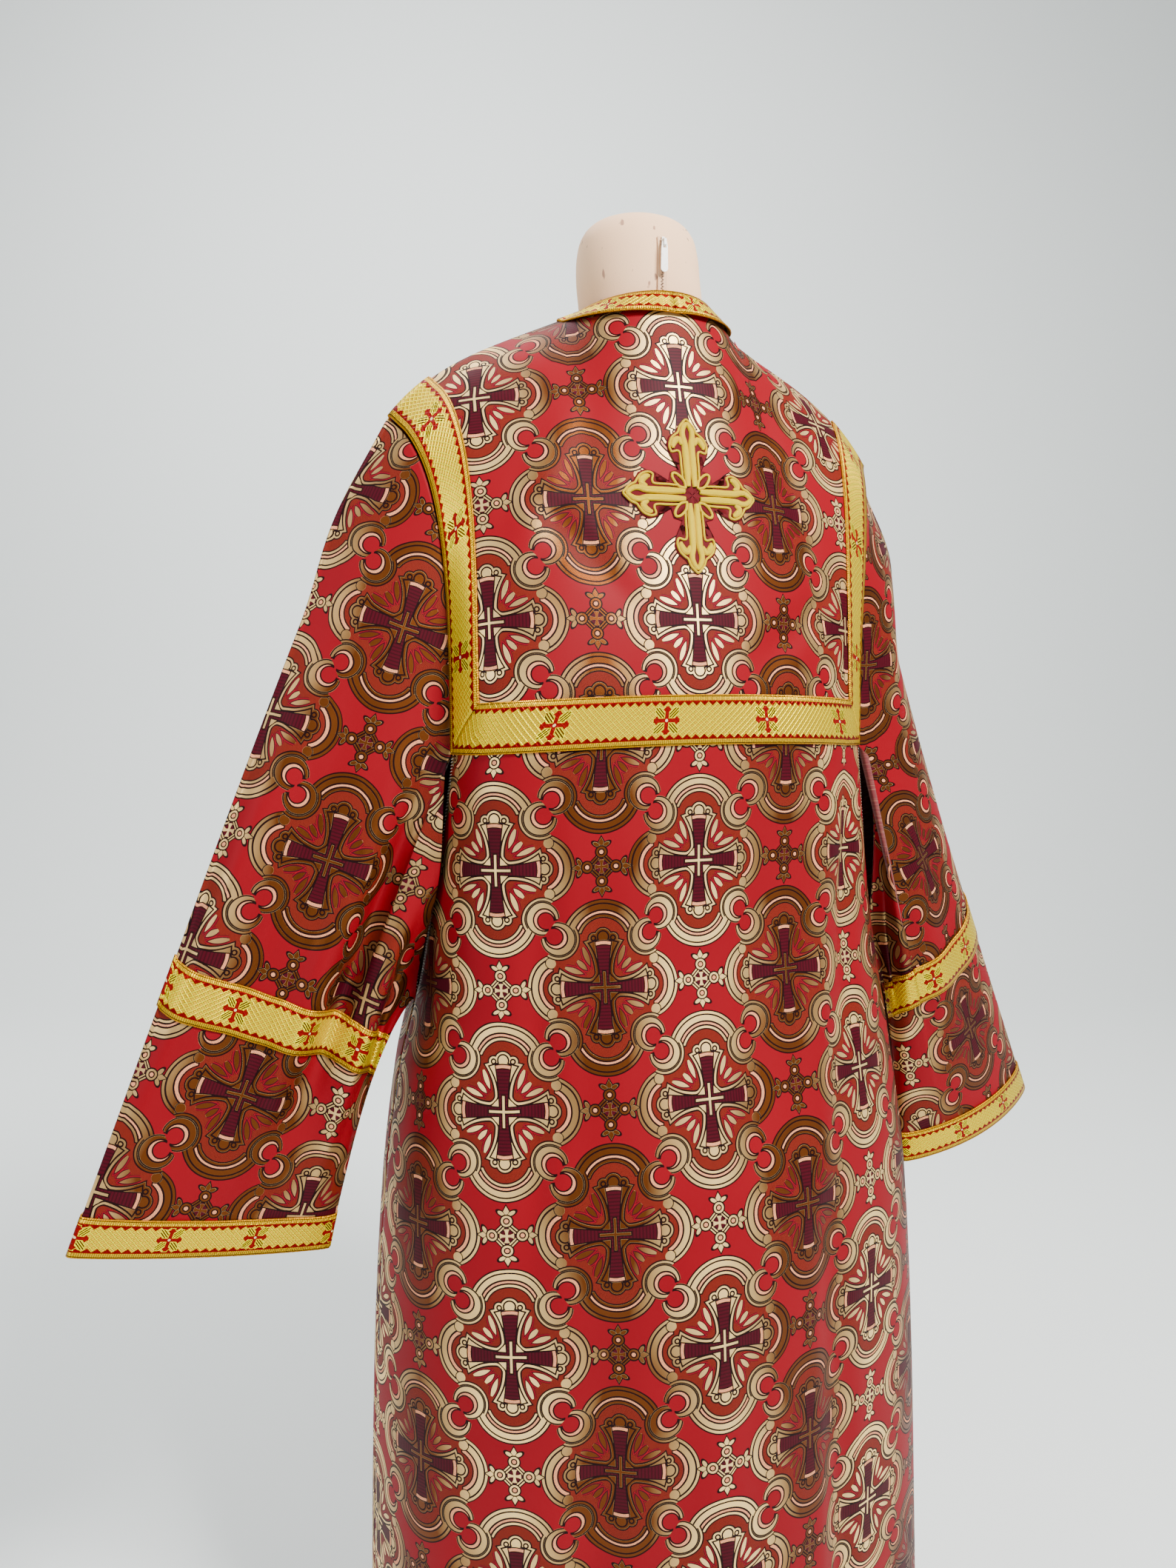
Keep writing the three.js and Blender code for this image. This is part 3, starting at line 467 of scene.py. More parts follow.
# ---- meshes ----
class Workshop:
    """Turns grids and outlines in millimetres into Blender pieces in the row's frame."""

    def __init__(self) -> None:
        """Finds how far the form's middle line is from the row's origin."""
        low, high = (np.array(corner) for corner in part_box("form_base"))
        self.shift = np.array([(low[0] + high[0]) / 2, (low[1] + high[1]) / 2, 0.0])

    def place(self, points: Array) -> Array:
        """Returns points of the form's frame, in millimetres, as the row's metres."""
        return np.asarray(points, float).reshape(-1, 3) * MM + self.shift

    def piece(self, name: str, points: Array, faces: Sequence[Sequence[int]], finishes: Sequence["Finish"],
              flat: Array | None = None, slots: Sequence[int] | None = None) -> Thing:
        """Makes one piece.

        Args:
            name: The piece's name.
            points: Its vertices, in millimetres.
            faces: Its faces, as vertex numbers.
            finishes: The finishes of its material slots.
            flat: The vertices' places in the flat cloth, in millimetres.
            slots: Each face's material slot.

        Returns:
            The new object.
        """
        mesh = bpy.data.meshes.new(name)
        mesh.from_pydata(self.place(points).tolist(), [], [list(f) for f in faces])
        mesh.validate()
        for finish in finishes:
            mesh.materials.append(finish.material())
        if slots is not None:
            mesh.polygons.foreach_set("material_index", np.array(slots, np.int32))
        mesh.polygons.foreach_set("use_smooth", np.full(len(mesh.polygons), True))
        if flat is not None:
            layer = mesh.uv_layers.new(name="cut")
            loops = np.empty(len(mesh.loops), np.int32)
            mesh.loops.foreach_get("vertex_index", loops)
            layer.data.foreach_set("uv", (np.asarray(flat, float)[loops] * MM).ravel())
        mesh.update()
        made = bpy.data.objects.new(name, mesh)
        bpy.context.scene.collection.objects.link(made)
        return made

    def shell(self, name: str, points: Array, normals: Array, flat: Array, near: float, far: float,
              finishes: Sequence["Finish"]) -> Thing:
        """Thickens a grid into a closed sheet.

        Args:
            name: The piece's name.
            points: The grid's points.
            normals: Its normals.
            flat: Its places in the flat cut.
            near: The inner side's distance along the normals.
            far: The outer side's distance.
            finishes: The outer side's finish, and the inner side's.

        Returns:
            The new object.
        """
        rows, columns = points.shape[:2]
        count = rows * columns
        ids = np.arange(count).reshape(rows, columns)
        quads = grid_faces(rows, columns)
        middle = len(quads) // 2
        q = points.reshape(-1, 3)[quads[middle]]
        facing = np.dot(np.cross(q[1] - q[0], q[3] - q[0]), normals.reshape(-1, 3)[quads[middle][0]])
        outer = quads if facing > 0 else quads[:, ::-1]
        inner = outer[:, ::-1] + count
        sides = [ids[0, :], ids[-1, ::-1], ids[::-1, 0], ids[:, -1]]
        rim = np.concatenate([
            np.stack([edge[1:], edge[:-1], edge[:-1] + count, edge[1:] + count], 1) for edge in sides
        ])
        rim = rim if facing > 0 else rim[:, ::-1]
        faces = np.concatenate([outer, inner, rim])
        slots = np.concatenate([
            np.zeros(len(outer)), np.full(len(inner), len(finishes) - 1), np.zeros(len(rim)),
        ]).astype(int)
        both = np.concatenate([points + normals * far, points + normals * near]).reshape(-1, 3)
        cut = np.concatenate([flat, flat]).reshape(-1, 2)
        return self.piece(name, both, faces.tolist(), finishes, cut, slots)

    def cord(self, points: Array, radius: float, sides: int) -> tuple[Array, list[list[int]]]:
        """Makes the vertices and faces of a round thread along a path.

        Args:
            points: The path.
            radius: Its radius.
            sides: Sides of the thread.

        Returns:
            Vertices and faces.
        """
        ahead = unit(np.gradient(points, axis=0))
        guide = np.array([0.0, 0.0, 1.0]) if abs(ahead[:, 2]).mean() < 0.8 else np.array([1.0, 0.0, 0.0])
        across = unit(np.cross(ahead, guide))
        up = np.cross(across, ahead)
        turns = 2 * np.pi * np.arange(sides) / sides
        ring = across[:, None] * np.cos(turns)[None, :, None] + up[:, None] * np.sin(turns)[None, :, None]
        vertices = (points[:, None] + ring * radius).reshape(-1, 3)
        return vertices, tube_faces(len(points), sides) + tube_ends(len(points), sides)

    def threads(self, name: str, paths: Sequence[Array], radius: float, finish: "Finish",
                sides: int = 6) -> Thing:
        """Makes one piece of many short threads.

        Args:
            name: The piece's name.
            paths: The threads' paths, in millimetres.
            radius: Their radius.
            finish: Their finish.
            sides: Sides of each thread.

        Returns:
            The new object.
        """
        vertices, faces, count = [], [], 0
        for path in paths:
            points, rings = self.cord(path, radius, sides)
            vertices.append(points)
            faces += [[k + count for k in ring] for ring in rings]
            count += len(points)
        return self.piece(name, np.concatenate(vertices), faces, [finish])

    def lathe(self, name: str, profile: Sequence[Pair], finish: "Finish",
              sides: int) -> Thing:
        """Turns a profile about the form's middle line.

        Args:
            name: The piece's name.
            profile: Radius and height of each ring, from below.
            finish: Its finish.
            sides: Sides of each ring.

        Returns:
            The new object.
        """
        turns = 2 * np.pi * np.arange(sides) / sides
        radii, heights = (np.array(values)[:, None] for values in zip(*profile))
        radii = np.maximum(radii, 0.01)
        rings = np.stack([radii * np.cos(turns), radii * np.sin(turns), heights * np.ones(sides)], -1)
        faces = tube_faces(len(profile), sides) + tube_ends(len(profile), sides)
        return self.soften(self.piece(name, rings.reshape(-1, 3), faces, [finish]), 1.5, 0.6)

    def soften(self, made: Thing, width: float, angle: float) -> Thing:
        """Rounds a piece's sharp edges, by a width in millimetres, where they turn more than an angle."""
        bevel = made.modifiers.new("soft edges", "BEVEL")
        bevel.width, bevel.segments, bevel.limit_method, bevel.angle_limit = width * MM, 3, "ANGLE", angle
        return made


# ---- finishes ----
def operator(kind: str) -> Callable[..., "Number"]:
    """Makes an operator of Number that adds one Math node."""
    def joined(self: "Number", *others: Amount) -> "Number":
        """Returns the result for this number and others."""
        return self.draft.math(kind, self, *others)

    return joined


class Number:
    """A number made by shader nodes, joined by the usual operators."""

    def __init__(self, draft: "Draft", value: float | Socket) -> None:
        """Keeps the value."""
        self.draft, self.value = draft, value

    def _with(self, kind: str, *others: Amount, clamp: bool = False) -> "Number":
        """Returns the result of one operation with others."""
        return self.draft.math(kind, self, *others, clamp=clamp)

    __add__ = __radd__ = operator("ADD")
    __sub__ = operator("SUBTRACT")
    __mul__ = __rmul__ = operator("MULTIPLY")
    __truediv__ = operator("DIVIDE")
    __pow__ = operator("POWER")
    __abs__ = operator("ABSOLUTE")
    # 1 above a limit and 0 below it, and the distance from the nearest multiple of twice the half.
    over = operator("GREATER_THAN")
    fold = operator("PINGPONG")

    def __rsub__(self, other: float) -> "Number":
        """Returns the difference from a plain number."""
        return self.draft.math("SUBTRACT", other, self)

    def __neg__(self) -> "Number":
        """Returns the number with its sign changed."""
        return self._with("MULTIPLY", -1.0)

    def least(self, *others: Amount) -> "Number":
        """Returns the least of this and the others."""
        return reduce(operator("MINIMUM"), others, self)

    def most(self, *others: Amount) -> "Number":
        """Returns the greatest of this and the others."""
        return reduce(operator("MAXIMUM"), others, self)

    def clipped(self) -> "Number":
        """Returns the number kept between 0 and 1."""
        return self._with("ADD", 0.0, clamp=True)

    def soft(self, edge: float = 0.25) -> "Number":
        """Returns 1 where the number is below 0, 0 where above, over a short edge."""
        return self._with("MULTIPLY_ADD", -1.0 / edge, 0.5, clamp=True)


class Draft:
    """The drawing of one finish, in shader nodes."""

    def __init__(self, name: str) -> None:
        """Starts an empty material."""
        self.material = bpy.data.materials.new(name)
        self.material.use_nodes = True
        self.nodes = self.material.node_tree.nodes
        self.links = self.material.node_tree.links
        self.shader = self.nodes["Principled BSDF"]

    def put(self, socket: Socket,
            value: "Amount | Socket | Sequence[float]") -> None:
        """Sets or links one input."""
        if isinstance(value, Number):
            value = value.value
        if isinstance(value, Socket):
            self.links.new(value, socket)
        elif isinstance(value, (int, float)):
            socket.default_value = value
        else:
            values = list(value)
            socket.default_value = values + [1.0] * (len(socket.default_value) - len(values))

    def node(self, kind: str, inputs: dict | None = None, **settings: object) -> bpy.types.Node:
        """Adds a node.

        Args:
            kind: The node's type, without its prefix.
            inputs: Values by input name or number.
            **settings: The node's own properties.

        Returns:
            The node.
        """
        made = self.nodes.new("ShaderNode" + kind)
        for name, value in settings.items():
            setattr(made, name, value)
        for name, value in (inputs or {}).items():
            self.put(made.inputs[name], value)
        return made

    def math(self, kind: str, *values: Amount, clamp: bool = False) -> Number:
        """Adds a Math node and returns its result."""
        inputs = {k: value for k, value in enumerate(values)}
        return Number(self, self.node("Math", inputs, operation=kind, use_clamp=clamp).outputs[0])

    def spot(self, x: Amount, y: Amount) -> Socket:
        """Returns a place in the drawing."""
        return self.node("CombineXYZ", {0: x, 1: y}).outputs[0]

    def away(self, spot: Socket, x: float, y: float) -> Number:
        """Returns the distance of a place from a fixed one."""
        node = self.node("VectorMath", {0: spot, 1: (x, y, 0.0)}, operation="DISTANCE")
        return Number(self, node.outputs["Value"])

    def cloth_place(self) -> tuple[Number, Number, Socket]:
        """Returns the place in the flat cloth, in millimetres, and the plain one in metres."""
        place = self.node("UVMap", uv_map="cut").outputs[0]
        parts = self.node("SeparateXYZ", {0: place})
        return Number(self, parts.outputs[0]) * 1000.0, Number(self, parts.outputs[1]) * 1000.0, place

    def object_place(self) -> Socket:
        """Returns the place on the object, in metres."""
        return self.node("TexCoord").outputs["Object"]

    def noise(self, place: Socket, scale: float, detail: float = 2.0,
              stretch: Triple | None = None) -> Number:
        """Makes soft noise.

        Args:
            place: The place in the drawing.
            scale: How many grains in a metre.
            detail: How fine the smallest grains are.
            stretch: How much denser the grains are along each axis.

        Returns:
            The noise, from 0 to 1.
        """
        if stretch:
            place = self.node("VectorMath", {0: place, 1: stretch}, operation="MULTIPLY").outputs[0]
        made = self.node("TexNoise", {"Vector": place, "Scale": scale, "Detail": detail})
        return Number(self, made.outputs["Fac"])

    def bands(self, value: Number, reach: float,
              stops: Sequence[tuple[float, Colour]]) -> Socket:
        """Colours a distance in plain bands.

        Args:
            value: The distance.
            reach: The greatest distance.
            stops: Where each band starts, with its colour.

        Returns:
            The colour.
        """
        made = self.node("ValToRGB", {0: value / reach})
        made.color_ramp.interpolation = "CONSTANT"
        elements = made.color_ramp.elements
        elements[0].position, elements[0].color = stops[0][0] / reach, (*stops[0][1], 1.0)
        elements[1].position, elements[1].color = stops[1][0] / reach, (*stops[1][1], 1.0)
        for start, colour in stops[2:]:
            elements.new(start / reach).color = (*colour, 1.0)
        return made.outputs["Color"]

    def mix(self, share: Amount, under: object, over: object, blend: str = "MIX") -> Socket:
        """Lays one colour over another."""
        inputs = {0: share, 6: under, 7: over}
        return self.node("Mix", inputs, data_type="RGBA", blend_type=blend, clamp_factor=True).outputs[2]

    def dye(self, colour: object, by: object, share: Amount = 1.0) -> Socket:
        """Multiplies a colour by another."""
        return self.mix(share, colour, by, "MULTIPLY")

    def emboss(self, height: Number, distance: float, strength: float = 1.0) -> None:
        """Gives the shader a bump from a height of 0 to 1, and a distance in metres."""
        made = self.node("Bump", {"Height": height, "Distance": distance, "Strength": strength})
        self.links.new(made.outputs[0], self.shader.inputs["Normal"])

    def set(self, **values: object) -> None:
        """Sets the shader's inputs, with _ for a space in their names."""
        for name, value in values.items():
            self.put(self.shader.inputs[name.replace("_", " ").title().replace("Ior", "IOR")], value)


class Finish:
    """A finish, made once and shared by its pieces."""

    made: dict["Finish", bpy.types.Material] = {}

    @property
    def title(self) -> str:
        """The finish's name."""
        return type(self).__name__

    def draw(self, draft: Draft) -> None:
        """Draws the finish."""
        raise NotImplementedError

    def material(self) -> bpy.types.Material:
        """Returns the material, drawn at its first use."""
        if self not in Finish.made:
            draft = Draft(self.title)
            self.draw(draft)
            Finish.made[self] = draft.material
        return Finish.made[self]


@dataclass(frozen=True)
class Brocade(Finish):
    """Red satin brocade: gold medallions with a cross, and small interlaced crosses between them.

    The drawing is made by its own formulas for one quarter of the repeat, in millimetres.
    """

    repeat_across: float = 187.5
    repeat_up: float = 215.0
    red: Colour = (0.25, 0.001, 0.008)
    shade: Colour = (0.008, 0.0002, 0.0005)
    gold: Colour = (1.0, 0.7, 0.3)
    pink: Colour = (0.7, 0.27, 0.13)
    salmon: Colour = (0.15, 0.011, 0.005)
    burgundy: Colour = (0.055, 0.0006, 0.006)
    # The level of painted sheen on the gold: lower values paint the gold darker and bronze, as if in shade.
    lustre: float = 0.45

    def medallion(self, d: Draft, colour: object, x: Number, y: Number) -> Socket:
        """Draws the medallion's frame and field round its centre."""
        place = d.spot(x, y)
        top, side = d.away(place, 0, 41.2), d.away(place, 38.5, 0)
        scroll, hollow = d.away(place, 40.2, 44.6), d.away(place, 43.4, 46.8)
        lining, mouth = d.away(place, 42.0, 45.8), d.away(place, 53.4, 53.8)
        dark, gold, pink = self.shade, self.gold, self.pink
        arcs = d.bands(top, 40, [
            (0, dark), (21.5, gold), (23.4, dark), (24.9, pink), (26.7, dark), (28.2, gold), (32.7, dark),
            (34.2, gold), (36.3, dark),
        ])
        free = scroll.over(15.0)
        colour = d.mix((top - 37.7).soft() * y.over(48.0) * free, colour, arcs)
        sides = d.bands(side, 34, [
            (0, dark), (17.8, pink), (20.7, dark), (22.3, gold), (27.3, dark), (28.9, gold), (31.0, dark),
        ])
        colour = d.mix((side - 32.1).soft() * x.over(45.0) * free, colour, sides)
        knob = d.away(place, 47.2, 22.8)
        colour = d.mix((knob - 5.4).soft(), colour, d.bands(knob, 6, [(0, gold), (4.4, dark)]))
        inner = (y - 48.2).most(x - 45.0).least(top - 20.4, side - 16.7).most(18.4 - scroll)
        colour = d.mix((inner - 1.2).soft(), colour, dark)
        colour = d.mix(inner.soft(), colour, self.salmon)
        colour = d.mix((knob - 4.4).soft(), colour, gold)
        ring = d.bands(scroll, 20, [(0, dark), (16.5, gold), (18.1, dark)])
        colour = d.mix(scroll.over(15.2) * (scroll - 19.4).soft() * (x + y - 79.5).soft(), colour, ring)
        curl = d.bands(lining, 32, [(0, dark), (0.1, pink), (9.2, dark), (10.7, gold)])
        body = (scroll - 15.4).soft() * hollow.over(7.0) * mouth.over(7.6)
        colour = d.mix(body, colour, curl)
        rim = (-(scroll - 14.0)).least(hollow - 8.3, mouth - 9.0)
        return d.mix(body * rim.soft(), colour, dark)

    def cross(self, d: Draft, colour: object, x: Number, y: Number) -> Socket:
        """Draws the wide-armed cross in the medallion, with fans of petals between its arms."""
        y = y * 0.965
        along, across = x.most(y), x.least(y)
        place = d.spot(along, across)
        flare = ((along - 11.0) / 29.5).clipped() ** 2.2
        corner = ((13.5 - along) / 6.0).clipped() ** 2.0
        arm = ((across - 7.4 - flare * 10.2 - corner * 4.5) * 0.86).most(along + across * 0.3 - 44.6)
        shape = arm.least(d.away(place, 43.4, 0) - 7.2, d.away(place, 42.4, 8.8) - 4.2)
        reach = d.away(place, 8.5, 8.5)
        turn = abs(d.math("ARCTAN2", across - 8.5, along - 8.5) * 57.3 - 45.0)
        outer = turn.over(12.5)
        middle, half = 15.2 + outer * 4.0, 5.4 + outer * 2.6
        wide = 2.1 * (1.0 - ((reach - middle - 1.5) / (half + 1.5)) ** 2.0)
        petal = turn.least(abs(turn - 24.5)) * reach * 0.01745 - wide
        near = (reach - middle - half - 1.0).most(8.0 - reach)
        fan = d.bands(petal + 2.5, 6, [
            (0, self.gold), (2.5, self.burgundy), (3.6, self.red), (4.3, self.burgundy), (5.0, self.burgundy),
        ])
        colour = d.mix((petal - 2.4).most(near, turn - 34.0).soft(), colour, fan)
        colour = d.mix((shape - 1.3).soft(), colour, self.shade)
        border = d.bands(-shape, 12, [
            (0, self.gold), (1.5, self.shade), (2.9, self.gold), (11.9, self.gold),
        ])
        colour = d.mix(shape.soft(), colour, border)
        end = d.away(place, 12.0, 0)
        core = (across - 3.3 - (along / 40.0) ** 1.7 * 3.7).most(end - 27.6)
        colour = d.mix((core - 1.1).soft(), colour, self.shade)
        ribs = d.mix((along.fold(1.5) - 0.6).soft(0.5) * 0.5, self.burgundy, self.shade)
        colour = d.mix(core.soft(), colour, ribs)
        colour = d.mix(core.soft() * end.over(24.2), colour, d.bands(end - 24.2, 4, [
            (0, self.shade), (0.8, self.pink), (3.9, self.pink),
        ]))
        colour = d.mix((across - 2.0).most(along - 14.6).soft(), colour, self.shade)
        return d.mix((across - 1.0).most(along - 13.4).soft(), colour, self.gold)

    def small_cross(self, d: Draft, colour: object, a: Number, b: Number) -> Socket:
        """Draws the small interlaced cross, with a bud at the end of each arm."""
        sideways = a.over(b)
        x = (a + sideways * (0.5 - a * 2.0)) * (self.repeat_across * 0.94)
        y = (0.5 - b + sideways * (b * 2.0 - 0.5)) * (self.repeat_up * 0.94)
        along, across = x.most(y), x.least(y)
        place = d.spot(along, across)
        diamond = (along + across) * 0.7071
        strands = d.bands(diamond, 10, [
            (0, self.burgundy), (5.0, self.shade), (6.0, self.gold), (7.0, self.shade), (8.2, self.gold),
            (9.2, self.shade),
        ])
        colour = d.mix((diamond - 10.2).soft(), colour, strands)
        middle = (across - 0.9 - (along / 5.4) ** 3.0 * 1.3).most(along - 5.6)
        colour = d.mix(middle.soft(), colour, self.gold)
        petal = d.spot((along * 0.5 + across * 0.87) * 0.5, along * 0.87 - across * 0.5)
        bud = (abs(along - 20.3) * 0.55 + across - 2.3).least(d.away(petal, 6.48, 14.08) - 1.5)
        colour = d.mix((bud - 1.1).soft(), colour, self.shade)
        colour = d.mix(bud.soft(), colour, self.gold)
        ring = d.away(place, 12.2, 0)
        return d.mix((ring - 5.6).soft(), colour, d.bands(ring, 6, [
            (0, self.pink), (1.7, self.shade), (2.8, self.gold), (4.4, self.shade),
        ]))

    def draw(self, draft: Draft) -> None:
        """Draws the cloth: the pattern, painted sheen and shade on its gold and its red ground, and its weave.
        """
        u, v, flat = draft.cloth_place()
        a, b = (u / self.repeat_across).fold(0.5), (v / self.repeat_up).fold(0.5)
        # Broad patches of painted sheen and shade for the red ground and the gold; the same noise also varies
        # the roughness a little.
        lustre = draft.noise(flat, 5.5, 1.0)
        # The share of painted sheen on the gold: higher along the columns of one set of medallions and lower
        # between them, higher with the piece's level, and higher where the noise is high.
        gold_sheen_share = ((0.27 - a) * 2.6 - 0.1 + self.lustre + (lustre - 0.5) * 1.8).clipped()
        second = (a + b).over(0.5)
        a = a + second * (0.5 - a * 2.0)
        b = b + second * (0.5 - b * 2.0)
        x, y = a * self.repeat_across, b * self.repeat_up
        # The red ground, with painted satin sheen: a darker red in broad patches.
        ground = draft.mix(lustre, self.red, darker(self.red, 0.72))
        pattern = self.medallion(draft, ground, x, y)
        pattern = self.cross(draft, pattern, x, y)
        pattern = self.small_cross(draft, pattern, a, b)
        green = Number(draft, draft.node("SeparateColor", {0: pattern}).outputs[1])
        golden = ((green - 0.26) * 4.0).clipped()
        salmon = ((green - 0.005) * 160.0).clipped() - golden
        twill = (u * 0.8 + v * 0.9 + draft.noise(flat, 900.0, 1.0) * 1.6).fold(0.55) / 0.55
        # Painted shade on the gold: dark bronze where its painted sheen is low, full gold where it is high.
        painted_gold_shade = draft.mix(gold_sheen_share, (0.13, 0.052, 0.024), (1.0, 1.0, 1.0))
        pattern = draft.dye(pattern, painted_gold_shade, golden)
        pattern = draft.dye(pattern, draft.mix(twill, (0.5, 0.4, 0.4), (1.4, 1.5, 1.5)), salmon)
        stripes = (u * 0.42 + v).fold(0.45) / 0.45
        pattern = draft.dye(pattern, draft.mix(stripes, (0.76, 0.7, 0.56), (1.08, 1.08, 1.06)), golden)
        threads = (v + draft.noise(flat, 600.0, 1.0) * 0.8).fold(0.3) / 0.3
        draft.emboss((threads * 0.35 + stripes * golden * 0.6 + golden * 0.9 + salmon * twill * 0.5) * 0.5,
                     0.00035, 0.5)
        draft.set(base_color=pattern, metallic=golden * 0.7, roughness=0.5 - golden * 0.1 + lustre * 0.1,
                  specular_ior_level=0.1)


@dataclass(frozen=True)
class BrocadeReverse(Finish):
    """The wrong side of the brocade: dull red with loose floating threads."""

    red: Colour = (0.13, 0.004, 0.006)

    def draw(self, draft: Draft) -> None:
        """Draws faint stripes of the threads that pass behind the pattern."""
        u, v, flat = draft.cloth_place()
        floats = draft.noise(flat, 60.0, 3.0, (1.0, 14.0, 1.0))
        colour = draft.mix(((floats - 0.52) * 6.0).clipped() * 0.6, self.red, rgb(150, 106, 78))
        draft.emboss(v.fold(0.4) / 0.4 * 0.5 + floats * 0.5, 0.0003, 0.4)
        draft.set(base_color=colour, roughness=0.85, sheen_weight=0.3, sheen_roughness=0.5)


@dataclass(frozen=True)
class Galloon(Finish):
    """Woven gold trim: a lattice with small red crosses, red saw teeth and corded edges.

    Attributes:
        width: The trim's width, in millimetres.
        pitch: From one cross to the next.
        cross: The crosses' size against those of the widest trim.
    """

    width: float = 45.0
    pitch: float = 100.0
    cross: float = 1.0
    gold: Colour = (0.9, 0.58, 0.0)
    line: Colour = (0.36, 0.16, 0.0)
    red: Colour = (0.22, 0.001, 0.002)
    cord: Colour = (0.62, 0.26, 0.0)
    pale: Colour = (1.0, 0.84, 0.0)
    shade: Colour = (0.06, 0.008, 0.002)

    @property
    def title(self) -> str:
        """The finish's name, with its width."""
        return f"Galloon {self.width:.0f}"

    def draw(self, draft: Draft) -> None:
        """Draws the trim, along u and across v."""
        u, v, flat = draft.cloth_place()
        half = self.width / 2.0
        margin = 0.55 + 0.45 * self.cross
        edge = half - abs(v)
        tick = u.fold(0.9) / 0.9
        strip = draft.mix(tick, self.line, self.gold)
        strip = draft.mix((edge - 0.9 * margin).soft(0.3), strip, self.cord)
        strip = draft.mix((abs(edge - 1.5 * margin) - 0.35).soft(0.2), strip, self.shade)
        tooth = u.fold(4.1) / 4.1
        within = 5.2 * margin - edge
        colour = draft.mix(within.soft(0.4), strip, self.red)
        left, right = (u + v * 1.15).fold(2.8), (u - v * 1.15).fold(2.8)
        seam = left.least(right)
        # Painted shading on each lattice cell: dark towards the lattice's lines, bright gold in the cell's
        # middle.
        painted_cell_shade = (left * right) / 7.8
        cell = draft.mix((painted_cell_shade * 1.6).clipped(), self.line, self.gold)
        lattice = draft.mix((seam - 0.55).soft(0.4), cell, self.pale)
        field_edge = (6.4 + tooth * 3.6) * margin - edge
        colour = draft.mix(field_edge.soft(0.4), colour, lattice)
        x, y = u.fold(self.pitch / 2.0) / self.cross, abs(v) / self.cross
        place = draft.spot(x, y)
        along, across = x.most(y), x.least(y)
        lengthwise, sideways = (x + y) * 0.7071, abs(x - y) * 0.7071
        leaf = sideways - 3.9 * (1.0 - ((lengthwise - 9.4) / 6.4) ** 2.0)
        stripe = (sideways + 1.0).fold(1.0)
        in_leaf = leaf.soft(0.3) * lengthwise.over(3.2)
        colour = draft.mix((leaf - 0.8).soft(0.3), colour, self.pale)
        colour = draft.mix(in_leaf * (0.45 - stripe).soft(0.3), colour, self.shade)
        head = 4.2 - abs(along - 9.6) * 1.2
        arm = (across - head.most(1.9)).most(along - 12.6)
        colour = draft.mix((arm - 0.5).soft(0.3), colour, self.pale)
        red_arm = arm.soft(0.3)
        colour = draft.mix(red_arm, colour, self.red)
        colour = draft.mix((draft.away(place, 0, 0) - 1.3).soft(0.3), colour, (0.9, 0.75, 0.6))
        glint = draft.noise(flat, 420.0, 2.0)
        colour = draft.dye(colour, draft.mix(glint, (0.7, 0.66, 0.3), (1.15, 1.2, 0.8)))
        relief = (seam - 0.7).soft(0.8) * 0.8 + tick * within.over(0.0) * 0.7 + glint * 0.4
        draft.emboss(relief, 0.0007, 0.7)
        draft.set(base_color=colour, metallic=0.7 - red_arm * 0.6, roughness=0.42, specular_ior_level=0.06)


@dataclass(frozen=True)
class GoldStitch(Finish):
    """Satin stitches of gold thread, side by side across a padded rib."""

    gold: Colour = (1.0, 0.74, 0.0)
    deep: Colour = (0.42, 0.22, 0.003)

    def draw(self, draft: Draft) -> None:
        """Draws the stitches across u."""
        u, v, flat = draft.cloth_place()
        stitch = (u + v * 0.35 + draft.noise(flat, 500.0, 1.0) * 0.7).fold(0.32) / 0.32
        colour = draft.mix((stitch * 1.4).clipped(), self.deep, self.gold)
        draft.emboss(stitch, 0.0004, 0.8)
        draft.set(base_color=colour, metallic=0.25, roughness=0.38)


@dataclass(frozen=True)
class Thread(Finish):
    """Plain sewing thread."""

    name: str = "Thread"
    colour: Colour = rgb(226, 214, 200)

    @property
    def title(self) -> str:
        """The thread's own name."""
        return self.name

    def draw(self, draft: Draft) -> None:
        """Draws the twist of the thread."""
        twist = draft.noise(draft.object_place(), 1600.0, 2.0)
        draft.emboss(twist, 0.0001, 0.5)
        draft.set(base_color=draft.mix(twist, darker(self.colour, 0.7), self.colour), roughness=0.6,
                  sheen_weight=0.2)


@dataclass(frozen=True)
class Satin(Finish):
    """Burgundy ground under the embroidery."""

    colour: Colour = (0.13, 0.0015, 0.006)

    def draw(self, draft: Draft) -> None:
        """Draws fine rows of filling stitches."""
        u, v, flat = draft.cloth_place()
        rows = (u + v).fold(0.35) / 0.35
        draft.emboss(rows, 0.0002, 0.6)
        draft.set(base_color=draft.mix(rows, darker(self.colour, 0.6), self.colour), roughness=0.6,
                  specular_ior_level=0.15)


@dataclass(frozen=True)
class Jersey(Finish):
    """Beige knitted cover of the form, a little soiled."""

    colour: Colour = (0.95, 0.6, 0.35)

    def draw(self, draft: Draft) -> None:
        """Draws the knit, soft stains and a few small dark marks."""
        place = draft.object_place()
        stain = draft.noise(place, 14.0, 3.0)
        colour = draft.mix(((stain - 0.45) * 2.2).clipped() * 0.5, self.colour, (0.82, 0.47, 0.27))
        marks = draft.noise(place, 95.0, 2.0, (1.0, 1.0, 0.6))
        colour = draft.mix(((marks - 0.695) * 30.0).clipped() * 0.7, colour, rgb(120, 74, 66))
        knit = draft.noise(place, 1500.0, 1.0, (1.0, 1.0, 0.45))
        draft.emboss(knit, 0.00025, 0.5)
        draft.set(base_color=colour, roughness=0.9, sheen_weight=0.1, sheen_roughness=0.5)


